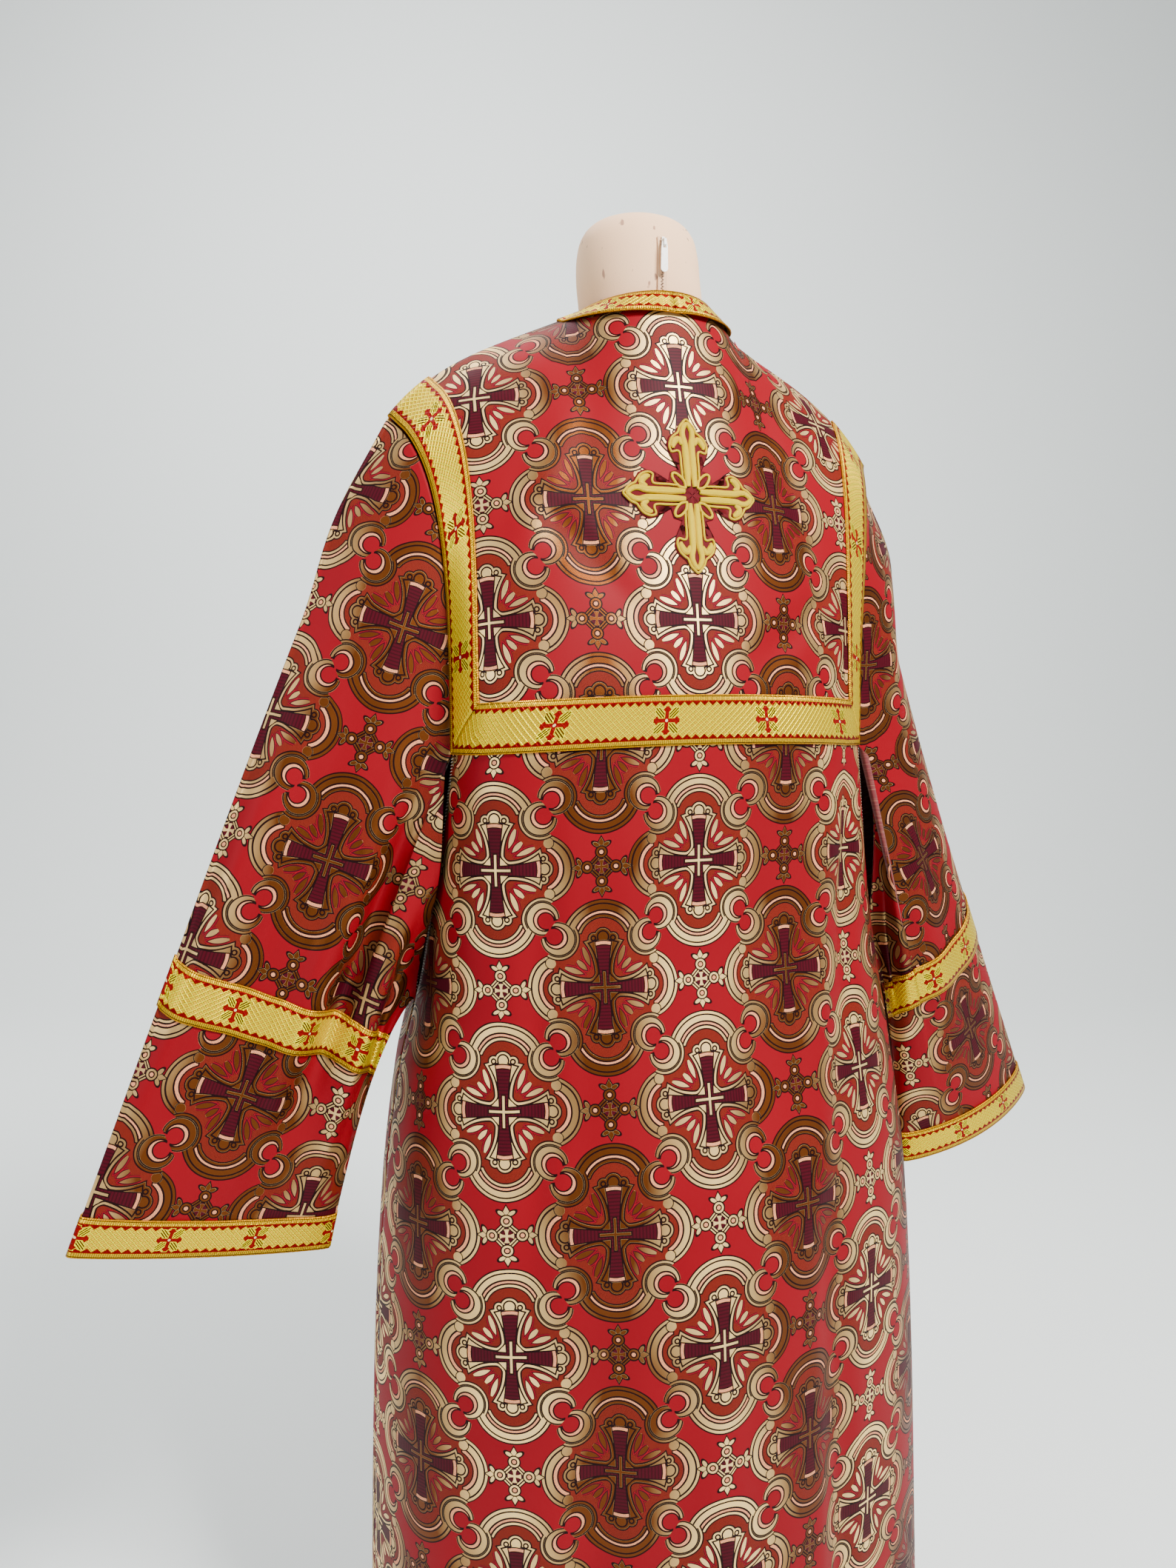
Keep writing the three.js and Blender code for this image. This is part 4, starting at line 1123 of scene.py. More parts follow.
@dataclass(frozen=True)
class PowderCoat(Finish):
    """Dark powder-coated steel of the stand."""

    colour: Colour = rgb(46, 46, 50)

    def draw(self, draft: Draft) -> None:
        """Draws the coat's fine grain and faint dust."""
        place = draft.object_place()
        grain = draft.noise(place, 900.0, 2.0)
        dust = draft.noise(place, 18.0, 4.0)
        draft.emboss(grain, 0.0002, 0.5)
        colour = draft.mix(((dust - 0.5) * 2.0).clipped() * 0.3, self.colour, rgb(92, 90, 88))
        draft.set(base_color=colour, metallic=0.3, roughness=0.42 + dust * 0.2)


@dataclass(frozen=True)
class PaleMetal(Finish):
    """White lacquered metal of the zip's slider and pull tab."""

    colour: Colour = rgb(240, 238, 232)

    def draw(self, draft: Draft) -> None:
        """Draws the lacquer with a little wear."""
        wear = draft.noise(draft.object_place(), 260.0, 3.0)
        colour = draft.mix(((wear - 0.6) * 5.0).clipped() * 0.5, self.colour, rgb(150, 146, 140))
        draft.emboss(wear, 0.0001, 0.3)
        draft.set(base_color=colour, metallic=0.2, roughness=0.3 + wear * 0.15)


@dataclass(frozen=True)
class ZipTape(Finish):
    """Woven tape of the zip."""

    colour: Colour = (0.97, 0.6, 0.35)

    def draw(self, draft: Draft) -> None:
        """Draws the tape's herringbone."""
        u, v, _ = draft.cloth_place()
        rib = (v + u.fold(1.2)).fold(0.4) / 0.4
        draft.emboss(rib, 0.0002, 0.6)
        draft.set(base_color=draft.mix(rib, darker(self.colour, 0.72), self.colour), roughness=0.8)


@dataclass(frozen=True)
class PaleFloor(Finish):
    """Plain pale floor and backdrop."""

    colour: Colour = (0.84, 0.88, 0.87)

    def draw(self, draft: Draft) -> None:
        """Draws a plain matte colour with a breath of variation."""
        cloud = draft.noise(draft.object_place(), 0.8, 1.0)
        colour = draft.mix(cloud, self.colour, darker(self.colour, 0.96))
        draft.set(base_color=colour, roughness=0.9)


# ---- garment ----
@dataclass
class Piece:
    """What all the cloth pieces are made with."""

    shop: Workshop
    cut: Cut
    thickness: float = 1.8
    body: str = MAIN_BODY

    def sheet(self, made: Thing, flat: Array, node: str, slot: str, held: Held,
              rests_on: Sequence[str]) -> Thing:
        """Attaches a cloth piece to its body, hides the part that it stands for and logs the size of its cut.

        Args:
            made: The piece.
            flat: Its grid in the flat cut, in millimetres.
            node: The node that it stands for.
            slot: The name of its material slot, which is not used.
            held: How it is held, which is not used.
            rests_on: The nodes that carry it, which are not used.

        Returns:
            The piece.
        """
        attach(made, self.body)
        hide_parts(node)
        flat = flat * MM
        width, length = np.ptp(flat[..., 0]), np.ptp(flat[..., 1])
        first, second = flat[1:, 1:] - flat[:-1, :-1], flat[1:, :-1] - flat[:-1, 1:]
        area = float(np.abs(first[..., 0] * second[..., 1] - first[..., 1] * second[..., 0]).sum() / 2)
        area = min(max(area, 0.31 * width * length), width * length)
        log.info("%s: cut %.0f x %.0f mm, %.3f square metres", made.name, width * 1e3, length * 1e3, area)
        return made


@dataclass
class BrocadePiece(Piece):
    """What the panels and the sleeves are made with."""

    def sew(self, cloth: Cloth, node: str, carriers: Sequence[str], finish: Brocade = Brocade()) -> None:
        """Makes a piece of brocade from its cloth.

        Args:
            cloth: The cloth.
            node: The node that it stands for.
            carriers: The nodes that carry it.
            finish: Its right side's finish.
        """
        half = self.thickness / 2
        made = self.shop.shell(f"brocade_{node}", cloth.points, cloth.normals, cloth.flat, -half, half,
                               [finish, BrocadeReverse()])
        self.sheet(made, cloth.flat, node, "brocade", Held.HUNG, carriers)


@dataclass
class BodyPanels(BrocadePiece):
    """The back and the front, each cut in one width from the shoulders to the hem."""

    row_steps: int = 8
    column_steps: int = 6
    ease_steps: int = 60
    medallion_z: float = 930.0
    medallion_x: float = 5.0
    creases: dict[Face, tuple[Crease, ...]] = field(default_factory=lambda: {
        Face.BACK: (
            Crease((-150, 60), (-105, -330), 34, 6.0), Crease((-60, 40), (-40, -300), 30, -5.0),
            Crease((60, 70), (95, -260), 34, 5.0), Crease((150, 40), (175, -420), 28, -7.0),
            Crease((-195, 90), (-170, -180), 24, -6.5), Crease((20, -380), (-10, -860), 44, 7.0),
            Crease((-120, -330), (-150, -860), 36, -7.5), Crease((110, -400), (140, -860), 38, -6.5),
            Crease((-170, 260), (-60, 180), 26, -4.0), Crease((150, 330), (60, 220), 24, -3.5),
            Crease((-90, 420), (-150, 240), 26, -3.0), Crease((100, 430), (170, 260), 26, 3.0),
        ),
        Face.FRONT: (
            Crease((-120, 60), (-90, -380), 34, 5.0), Crease((-20, 30), (-30, -420), 30, -5.0),
            Crease((90, 60), (120, -380), 34, 5.0), Crease((170, 60), (190, -360), 24, -5.0),
            Crease((-180, 60), (-190, -360), 24, -5.0), Crease((0, 250), (10, 90), 30, 3.0),
        ),
    })

    def column_tops(self, face: Face, side: int, columns: Array) -> tuple[Array, Array, Array]:
        """Finds where columns end.

        Args:
            face: The back or the front.
            side: 1 for the wearer's left, -1 for the right.
            columns: Column numbers, from 0 in the middle to the armhole.

        Returns:
            The last points, the points a collar's width below them, and how the cloth goes on from there.
        """
        cut, own = self.cut, self.cut.faces[face]
        share = np.clip(columns / SEAM_COLUMN, 0, 1)
        angle = np.radians(90.0 * (1.0 - share))
        heading = np.maximum(angle, math.radians(cut.neck_corner))
        slope = np.radians(own.collar_slope + (cut.side_slope - own.collar_slope) * share)
        neck_top, neck_away = cut.neckline(face, side, angle, heading, slope)
        neck_top[:, 1] = own.sign * np.maximum(np.abs(neck_top[:, 1]), cut.half_seam)
        neck_leave = np.stack([
            side * 10.0 * share, own.sign * (22 + 54 * share ** 2),
            -(own.steepness + (36 - own.steepness) * share ** 0.7),
        ], -1)
        drop = cut.drop_left if side > 0 else cut.drop_right
        x = np.interp(columns - SEAM_COLUMN, np.arange(len(cut.seam_x)), cut.seam_x)
        far = (x - cut.neck_side) / (cut.shoulder_half - cut.neck_side)
        seam_z = cut.neck_side_z - drop * (0.72 * far + 0.28 * far ** 5)
        seam_top = np.stack([side * x, np.full_like(x, own.sign * cut.half_seam), seam_z], -1)
        seam_away = unit(np.stack([
            side * (2 - 13 * far), np.full_like(x, own.sign * 21.0), -(8 + 9 * far),
        ], -1)) * cut.collar_band
        seam_leave = np.stack([
            side * (12 - 40 * far), own.sign * (56 + (own.armhole_depth - 62) * far), -(34 + 20 * far),
        ], -1)
        past = np.clip(columns - SEAM_COLUMN, 0, 1)[:, None]
        top = np.where(columns[:, None] <= SEAM_COLUMN, neck_top, seam_top)
        return top, top + neck_away * (1 - past) + seam_away * past, neck_leave * (1 - past) + seam_leave * past

    def half_rows(self, face: Face, side: int, rows: Array, columns: Array) -> Array:
        """Places the points of half a panel.

        Args:
            face: The back or the front.
            side: 1 for the wearer's left, -1 for the right.
            rows: Row numbers, from 0 at the hem.
            columns: Column numbers, from 0 in the middle to the edge.

        Returns:
            The points, by row and column.
        """
        cut, own = self.cut, self.cut.faces[face]
        steps = np.linspace(0, 1, 121)

        def lower(z: float) -> Array:
            """Places one row below the yoke's band."""
            angles = 90 + (float(cut.edge_angle(z, face, side)) - 90) * steps
            turns = own.sign * (angles if side > 0 else 180 - angles)
            lengths = distance_along(cut.body_point(turns, z))
            trim = 1 - cut.yoke_band / lengths[-1]
            share = np.where(columns <= BAND_COLUMN, trim * columns / BAND_COLUMN,
                             trim + (1 - trim) * (columns - BAND_COLUMN))
            angle = np.interp(share * lengths[-1], lengths, angles)
            points = cut.body_point(own.sign * (angle if side > 0 else 180 - angle), z)
            points[:, 2] += bump(z - cut.yoke_z, 260) * cut.yoke_arch * (1 - (columns / EDGE_COLUMN) ** 2)
            points[-1, 1] = own.sign * max(abs(points[-1, 1]), cut.half_seam)
            return points

        yoke = cut.yoke_row
        chest = lower(cut.yoke_z)
        yoke_top = chest + np.array([0, 0, cut.yoke_band])
        top, low, leave = self.column_tops(face, side, columns)
        rise = (low[:, 2] - yoke_top[:, 2]) * 0.27
        first = yoke_top + np.stack([
            np.zeros_like(rise), np.full_like(rise, -own.sign * own.chest_lean), rise,
        ], -1)
        placed = []
        for row in rows:
            if row <= yoke:
                placed.append(lower(float(np.interp(row, np.arange(yoke + 1), cut.lower_z))))
            elif row <= yoke + 1:
                placed.append(chest + (yoke_top - chest) * (row - yoke))
            elif row <= cut.top_row - 1:
                t = float(np.interp(row - yoke - 1, np.arange(len(cut.upper_shares)), cut.upper_shares))
                placed.append((1 - t) ** 3 * yoke_top + 3 * t * (1 - t) ** 2 * first
                              + 3 * t ** 2 * (1 - t) * (low + leave) + t ** 3 * low)
            else:
                placed.append(low + (top - low) * (row - cut.top_row + 1))
        return np.array(placed)

    def ease(self, points: Array, rows: Array, across: Array) -> None:
        """Evens out the cloth above the yoke's band, where the neckline's corners would leave ridges.

        Args:
            points: The panel's grid, which is changed in place.
            rows: Its row numbers.
            across: Its column numbers.
        """
        cut = self.cut
        ease = ramp01(cut.top_row - rows, 0.0, 1.2)[:, None] * ramp01(rows - cut.yoke_row, 1.0, 3.0)[:, None]
        ease = (ease * ramp01(EDGE_COLUMN - np.abs(across[1:-1]), 0.9, 2.0)[None])[..., None] * 0.5
        for _ in range(self.ease_steps):
            between = (points[:, 2:] + points[:, :-2]) / 2
            points[:, 1:-1] += (between - points[:, 1:-1]) * ease

    def cloth(self, face: Face) -> Cloth:
        """Lays out one panel's cloth, with its folds."""
        cut = self.cut
        rows = np.linspace(0, cut.top_row, cut.top_row * self.row_steps + 1)
        columns = np.linspace(0, EDGE_COLUMN, EDGE_COLUMN * self.column_steps + 1)
        left = self.half_rows(face, 1, rows, columns)
        right = self.half_rows(face, -1, rows, columns)
        points = np.concatenate([right[:, :0:-1], left], axis=1)
        across = np.concatenate([-columns[:0:-1], columns])
        self.ease(points, rows, across)
        cloth = Cloth(rows, across, points, -cut.faces[face].sign)
        middle = len(columns) - 1
        row = int(np.argmin(np.abs(points[:, middle, 2] - self.medallion_z)))
        cloth.flat = cloth.flat - cloth.flat[row, middle]
        by_edge, by_top = ramp01(EDGE_COLUMN - np.abs(across), 0.0, 1.6), ramp01(cut.top_row - rows, 0.5, 5.0)
        cloth.crease(self.creases[face], by_edge[None] * by_top[:, None])
        # Where the two panels meet, their normals lie in the seam, so that their thickness doesn't cross it.
        in_seam = np.array([1, 0.05, 1])
        sewn = rows <= cut.slit_row
        for column in (0, -1):
            cloth.normals[sewn, column] = unit(cloth.normals[sewn, column] * in_seam)
        crest = np.abs(across) >= SEAM_COLUMN
        cloth.normals[-1, crest] = unit(cloth.normals[-1, crest] * in_seam)
        cloth.flat = cloth.flat - np.array([self.medallion_x, 0])
        return cloth

    def build(self) -> dict[Face, Cloth]:
        """Makes both panels and returns their cloth."""
        laid = {face: self.cloth(face) for face in Face}
        for face, cloth in laid.items():
            self.sew(cloth, f"{face.name.lower()}_panel", ["form_body"])
        return laid


class SleeveFold(NamedTuple):
    """One soft fold down a sleeve.

    Attributes:
        face: 1 on the back of the sleeve, -1 on its front.
        place: 0 at the seam under the arm, 1 at the outer line.
        width: Its half width, on the same scale.
        depth: How far it stands out, in millimetres, or in where negative.
        start: Where it starts, 0 at the armhole and 1 at the cuff.
        end: Where it ends.
    """

    face: int
    place: float
    width: float
    depth: float
    start: float
    end: float


@dataclass
class SleeveCut:
    """Sizes of one sleeve."""

    outer: Triple
    inner: Triple
    cap_bow: float
    crest_bow: float
    inner_bow: float
    cuff_back: float
    cuff_front: float
    slit_gap: float
    overlap: float
    folds: tuple[SleeveFold, ...]
    phase: Pair
    # The level of painted sheen on the sleeve's gold; lower values paint it darker, as if in shade.
    lustre: float


@dataclass
class Sleeves(BrocadePiece):
    """Wide sleeves, each folded along its outer line and open under the arm."""

    shares: tuple[float, ...] = (0, 0.06, 0.14, 0.26, 0.4, 0.55, 0.7, 0.85, 1)
    band_low: Pair = (172, 222)
    band_high: Pair = (212, 268)
    row_steps: int = 8
    column_steps: int = 4
    root_gap: float = 2.0
    cap_place: float = 0.13
    bow_skew: float = 0.6
    # The last value of each cut is its level of painted sheen: both sleeves' gold is painted darker than the
    # body's, the left sleeve darkest, as if in shade.
    cuts: dict[Side, SleeveCut] = field(default_factory=lambda: {
        Side.LEFT: SleeveCut((545, 55, 607), (324, 12, 557), 7, 8, 14, 9, 54, 2, 5.5, (
            SleeveFold(1, 0.15, 0.08, -18, 0.0, 0.62), SleeveFold(1, 0.27, 0.08, 15, 0.05, 0.95),
            SleeveFold(1, 0.40, 0.06, -20, 0.0, 0.85),
            SleeveFold(1, 0.51, 0.08, 15, 0.05, 1.0), SleeveFold(1, 0.68, 0.09, -11, 0.1, 0.9),
            SleeveFold(1, 0.84, 0.09, 9, 0.2, 1.0),
            SleeveFold(-1, 0.2, 0.1, 10, 0.05, 0.8), SleeveFold(-1, 0.5, 0.14, -9, 0.1, 0.95),
        ), (0.0, 57.0), 0.0),
        Side.RIGHT: SleeveCut((525, -40, 592), (318, 6, 546), 22, -22, 12, 34, 32, 8, 0.0, (
            SleeveFold(1, 0.2, 0.1, -10, 0.05, 0.6), SleeveFold(1, 0.48, 0.14, 9, 0.1, 0.95),
            SleeveFold(-1, 0.25, 0.12, 10, 0.05, 0.85),
            SleeveFold(-1, 0.6, 0.14, -8, 0.1, 0.95),
        ), (0.0, 45.0), 0.15),
    })

    @property
    def last_row(self) -> int:
        """The row on the cuff's edge."""
        return len(self.shares) - 1 + 5

    def root(self, side: Side, panels: dict[Face, Cloth], places: Array) -> Array:
        """Places the sleeve's first row round the armhole.

        Args:
            side: The wearer's left or right.
            panels: The body's cloth.
            places: Places round the armhole, from under the arm over the back.

        Returns:
            The points.
        """
        cut, own, sign = self.cut, self.cuts[side], side.value
        climb = cut.top_row - cut.slit_row
        crest = panels[Face.BACK].sample(cut.top_row, sign * EDGE_COLUMN)[0] + np.array([
            sign * self.root_gap, -cut.half_seam, -1.0])
        points = []
        for place in places:
            face = Face.BACK if place <= climb + 1 else Face.FRONT
            step = place if face is Face.BACK else 2 * climb + 2 - place
            row = cut.slit_row + min(step, climb)
            if row < cut.yoke_row:
                z = float(np.interp(row, np.arange(cut.yoke_row + 1), cut.lower_z))
                open_part = float(bump(z - cut.yoke_z + 115, 115))
                angle = max(float(cut.edge_angle(z, face, sign)), 3.2) + own.overlap * open_part
                turn = face.value * (angle if sign > 0 else 180 - angle)
                stand = self.root_gap + 3 + own.slit_gap * float(bump(z - cut.yoke_z + 75, 190))
                point = cut.body_point(turn, z, stand)
            else:
                edge = panels[face].sample(row, sign * EDGE_COLUMN)[0]
                inside = panels[face].sample(row, sign * BAND_COLUMN)[0]
                point = edge + unit(edge - inside) * self.root_gap
            points.append(point + (crest - point) * max(step - climb, 0.0))
        return np.array(points)

    def cloth(self, side: Side, panels: dict[Face, Cloth]) -> Cloth:
        """Lays out one sleeve's cloth, with its folds."""
        cut, own, sign = self.cut, self.cuts[side], side.value
        last = 2 * (cut.top_row - cut.slit_row) + 2
        places = np.linspace(0, last, last * self.column_steps + 1)
        start = self.root(side, panels, places)
        share = places / last
        turn = 2 * np.pi * share
        outer, inner = (np.array([sign * p[0], p[1], p[2]]) for p in (own.outer, own.inner))
        end = inner + (outer - inner) * (0.5 - 0.5 * np.cos(turn))[:, None]
        depth = np.where(turn < np.pi, own.cuff_back, own.cuff_front)
        end[:, 1] += depth * np.sin(turn) * (1 - 0.35 * np.cos(turn) ** 2)
        length = np.linalg.norm(end - start, axis=1)
        outward = 1 - np.abs(2 * share - 1)
        high = self.band_high[0] + (self.band_high[1] - self.band_high[0]) * outward
        low = self.band_low[0] + (self.band_low[1] - self.band_low[0]) * outward
        knots = [part * (1 - high / length) for part in self.shares] + [
            1 - (low + (cut.cuff_band - low) * part) / length for part in (0.0, 0.33, 0.67, 1.0)
        ] + [np.ones_like(length)]
        knots = np.array(knots)
        rows = np.linspace(0, self.last_row, self.last_row * self.row_steps + 1)
        k = np.clip(rows.astype(int), 0, self.last_row - 1)
        down = knots[k] + (knots[k + 1] - knots[k]) * (rows - k)[:, None]
        points = start[None] + (end - start)[None] * down[..., None]
        bow = np.sin(np.pi * down ** self.bow_skew)
        crest = own.crest_bow * bow + own.cap_bow * bump(down - self.cap_place, self.cap_place)
        points[..., 0] += sign * (crest * bump(1 - outward, 0.45) + own.inner_bow * bow * bump(outward, 0.4))
        face = np.where(share < 0.5, 1, -1)
        for fold in own.folds:
            along = bump(down - (fold.start + fold.end) / 2, (fold.end - fold.start) / 2)
            lift = fold.depth * bump(outward - fold.place, fold.width) * along
            points[..., 1] += face * lift * (face == fold.face)
        points[:, 0, 1] += cut.half_seam
        points[:, -1, 1] -= cut.half_seam
        cloth = Cloth(rows, places, points, sign)
        # Up the cut is towards the shoulder, and left and right are seen from outside.
        middle = len(places) // 2
        cloth.flat = cloth.flat[-1, middle] - cloth.flat - np.array(own.phase)
        return cloth

    def build(self, panels: dict[Face, Cloth]) -> dict[Side, Cloth]:
        """Makes both sleeves and returns their cloth."""
        laid = {side: self.cloth(side, panels) for side in Side}
        for side, cloth in laid.items():
            end = side.name.lower()
            # Each sleeve's brocade gets its own level of painted sheen.
            self.sew(cloth, f"sleeve_{end}", [f"shoulder_band_{end}", "form_body"],
                     Brocade(lustre=self.cuts[side].lustre))
        return laid


@dataclass
class Trim(Piece):
    """Galloon sewn on the body and the sleeves."""

    gap: float = 0.35
    thick: float = 1.3
    wide: Galloon = Galloon(45.0, 102.0, 1.0)
    arm: Galloon = Galloon(45.0, 70.0, 0.95)
    narrow: Galloon = Galloon(35.0, 76.0, 0.85)
    collar: Galloon = Galloon(24.0, 83.9, 0.7)
    first_cross: float = 61.0
    yoke_cross: float = 38.0
    shoulder_cross: float = 20.0

    def band(self, name: str, points: Array, normals: Array, along: Array, across: Array, finish: Galloon,
             carriers: Sequence[str]) -> Thing:
        """Makes one band.

        Args:
            name: The node that it stands for.
            points: Its grid on the middle of the cloth below.
            normals: The cloth's normals there.
            along: Distances along the band.
            across: Distances from the band's middle line.
            finish: Its weave.
            carriers: The nodes that it is sewn on.

        Returns:
            The band.
        """
        near = self.thickness / 2 + self.gap
        flat = np.stack(np.broadcast_arrays(along, across), -1)
        made = self.shop.shell(f"galloon_{name}", points, normals, flat, near, near + self.thick, [finish])
        return self.sheet(made, flat, name, "galloon", Held.STRETCHED, carriers)

    def yoke(self, face: Face, cloth: Cloth, name: str) -> None:
        """Makes the band across a panel, mitred at both ends.

        Args:
            face: The back or the front.
            cloth: The panel's cloth.
            name: The node that it stands for.
        """
        row = self.cut.yoke_row
        up = np.linspace(0.0, 1.0, 7)[:, None]
        side = np.linspace(-1.0, 1.0, 161)[None]
        points, normals, _ = cloth.sample(row + up, side * (EDGE_COLUMN - up - 0.03))
        run = distance_along(points[len(points) // 2])
        along = (run - run[len(run) // 2] - self.yoke_cross)[None]
        across = (up - 0.5) * self.wide.width
        self.band(name, points, normals, along, across, self.wide, [f"{face.name.lower()}_panel"])

    def shoulder(self, side: Side, panels: dict[Face, Cloth], name: str) -> None:
        """Makes the band over an armhole seam, from mitre to mitre.

        Args:
            side: The wearer's left or right.
            panels: The body's cloth.
            name: The node that it stands for.
        """
        cut, sign = self.cut, side.value
        mitre = cut.yoke_row + 1
        rows = np.concatenate([np.linspace(cut.yoke_row, mitre, 9)[:-1], np.linspace(mitre, cut.top_row, 50)])
        inner = np.where(rows < mitre, EDGE_COLUMN - (rows - cut.yoke_row), BAND_COLUMN)[:, None]
        step = np.linspace(0, 1, 7)[None]
        columns = inner + (EDGE_COLUMN - inner) * step
        grids = [panels[face].sample(rows[:, None], sign * columns)[:2]
                 for face in (Face.BACK, Face.FRONT)]
        points = np.concatenate([grids[0][0], grids[1][0][-2::-1]])
        normals = np.concatenate([grids[0][1], grids[1][1][-2::-1]])
        crest = len(rows) - 1
        normals[crest] = unit(normals[crest - 1] + normals[crest + 1])
        points[crest, :, 1] = 0.0
        points = points + normals * (1.2 * bump(np.arange(len(points)) - crest, 4))[:, None, None]
        run = distance_along(points[:, -1])
        place = np.concatenate([columns, columns[-2::-1]])
        across = (place - (BAND_COLUMN + EDGE_COLUMN) / 2) * self.wide.width * sign
        along = (run + self.shoulder_cross)[:, None]
        self.band(name, points, normals, along, across, self.wide, ["back_panel", "front_panel"])

    def collar_ring(self) -> None:
        """Makes the narrow band round the neckline."""
        cut = self.cut
        # Headings run from the back's middle over the wearer's left round to the back again.
        corner = cut.neck_corner
        quarter = np.concatenate([np.linspace(90, corner, 20), np.linspace(corner - 2, 0, 4)])
        tops, lows = [], []
        order = [(1, Face.BACK, quarter), (1, Face.FRONT, quarter[-2::-1]), (-1, Face.FRONT, quarter[1:]),
                 (-1, Face.BACK, quarter[-2::-1])]
        for side, face, headings in order:
            own = cut.faces[face]
            drop = cut.drop_left if side > 0 else cut.drop_right
            seam_slope = math.degrees(math.atan2(0.72 * drop, cut.shoulder_half - cut.neck_side))
            for heading in headings:
                angle = np.interp(heading, [corner, 90], [0, 90])
                share = 1 - angle / 90
                slope = own.collar_slope + (cut.side_slope - own.collar_slope) * share
                if heading < corner:
                    slope = seam_slope + (cut.side_slope - seam_slope) * heading / corner
                top, step = cut.neckline(face, side, *np.radians([angle, heading, slope]))
                tops.append(top)
                lows.append(top + step)
        tops, lows = np.array(tops), np.array(lows)
        across = np.linspace(0, 1, 6)[:, None, None]
        points = lows[None] + (tops - lows)[None] * across
        along_ring = np.roll(lows, -1, axis=0) - np.roll(lows, 1, axis=0)
        along_ring[0] = lows[1] - lows[-2]
        along_ring[-1] = along_ring[0]
        normal = unit(np.cross(lows - tops, along_ring))
        normal = np.where((normal[:, 2] < 0)[:, None], -normal, normal)
        normals = np.repeat(normal[None], 6, axis=0)
        run = distance_along((tops + lows) / 2)
        along = (run - self.first_cross)[None]
        v = (across[..., 0] - 0.5) * self.collar.width
        lift = 0.8 * np.exp(-(np.abs(points[..., 1]) / 9.0) ** 2)
        self.band("collar_band", points + normals * lift[..., None], normals, along, v, self.collar,
                  ["back_panel", "front_panel"])

    def sleeve_bands(self, side: Side, cloth: Cloth) -> None:
        """Makes a sleeve's armband and cuff band."""
        share = np.linspace(0, 1, 6)[:, None]
        for name, first_row, finish in (("armband_", 8.0, self.arm), ("cuff_band_", 12.0, self.narrow)):
            points, normals, _ = cloth.sample(first_row + share, cloth.columns[None])
            run = distance_along(points[len(points) // 2])
            along = (run - run[len(run) // 2])[None]
            across = (0.5 - share) * finish.width
            self.band(name + side.name.lower(), points, normals, along, across, finish,
                      ["sleeve_" + side.name.lower()])

    def build(self, panels: dict[Face, Cloth], sleeves: dict[Side, Cloth]) -> None:
        """Makes every band."""
        for face in Face:
            self.yoke(face, panels[face], f"yoke_band_{face.name.lower()}")
        for side in Side:
            self.shoulder(side, panels, f"shoulder_band_{side.name.lower()}")
            self.sleeve_bands(side, sleeves[side])
        self.collar_ring()


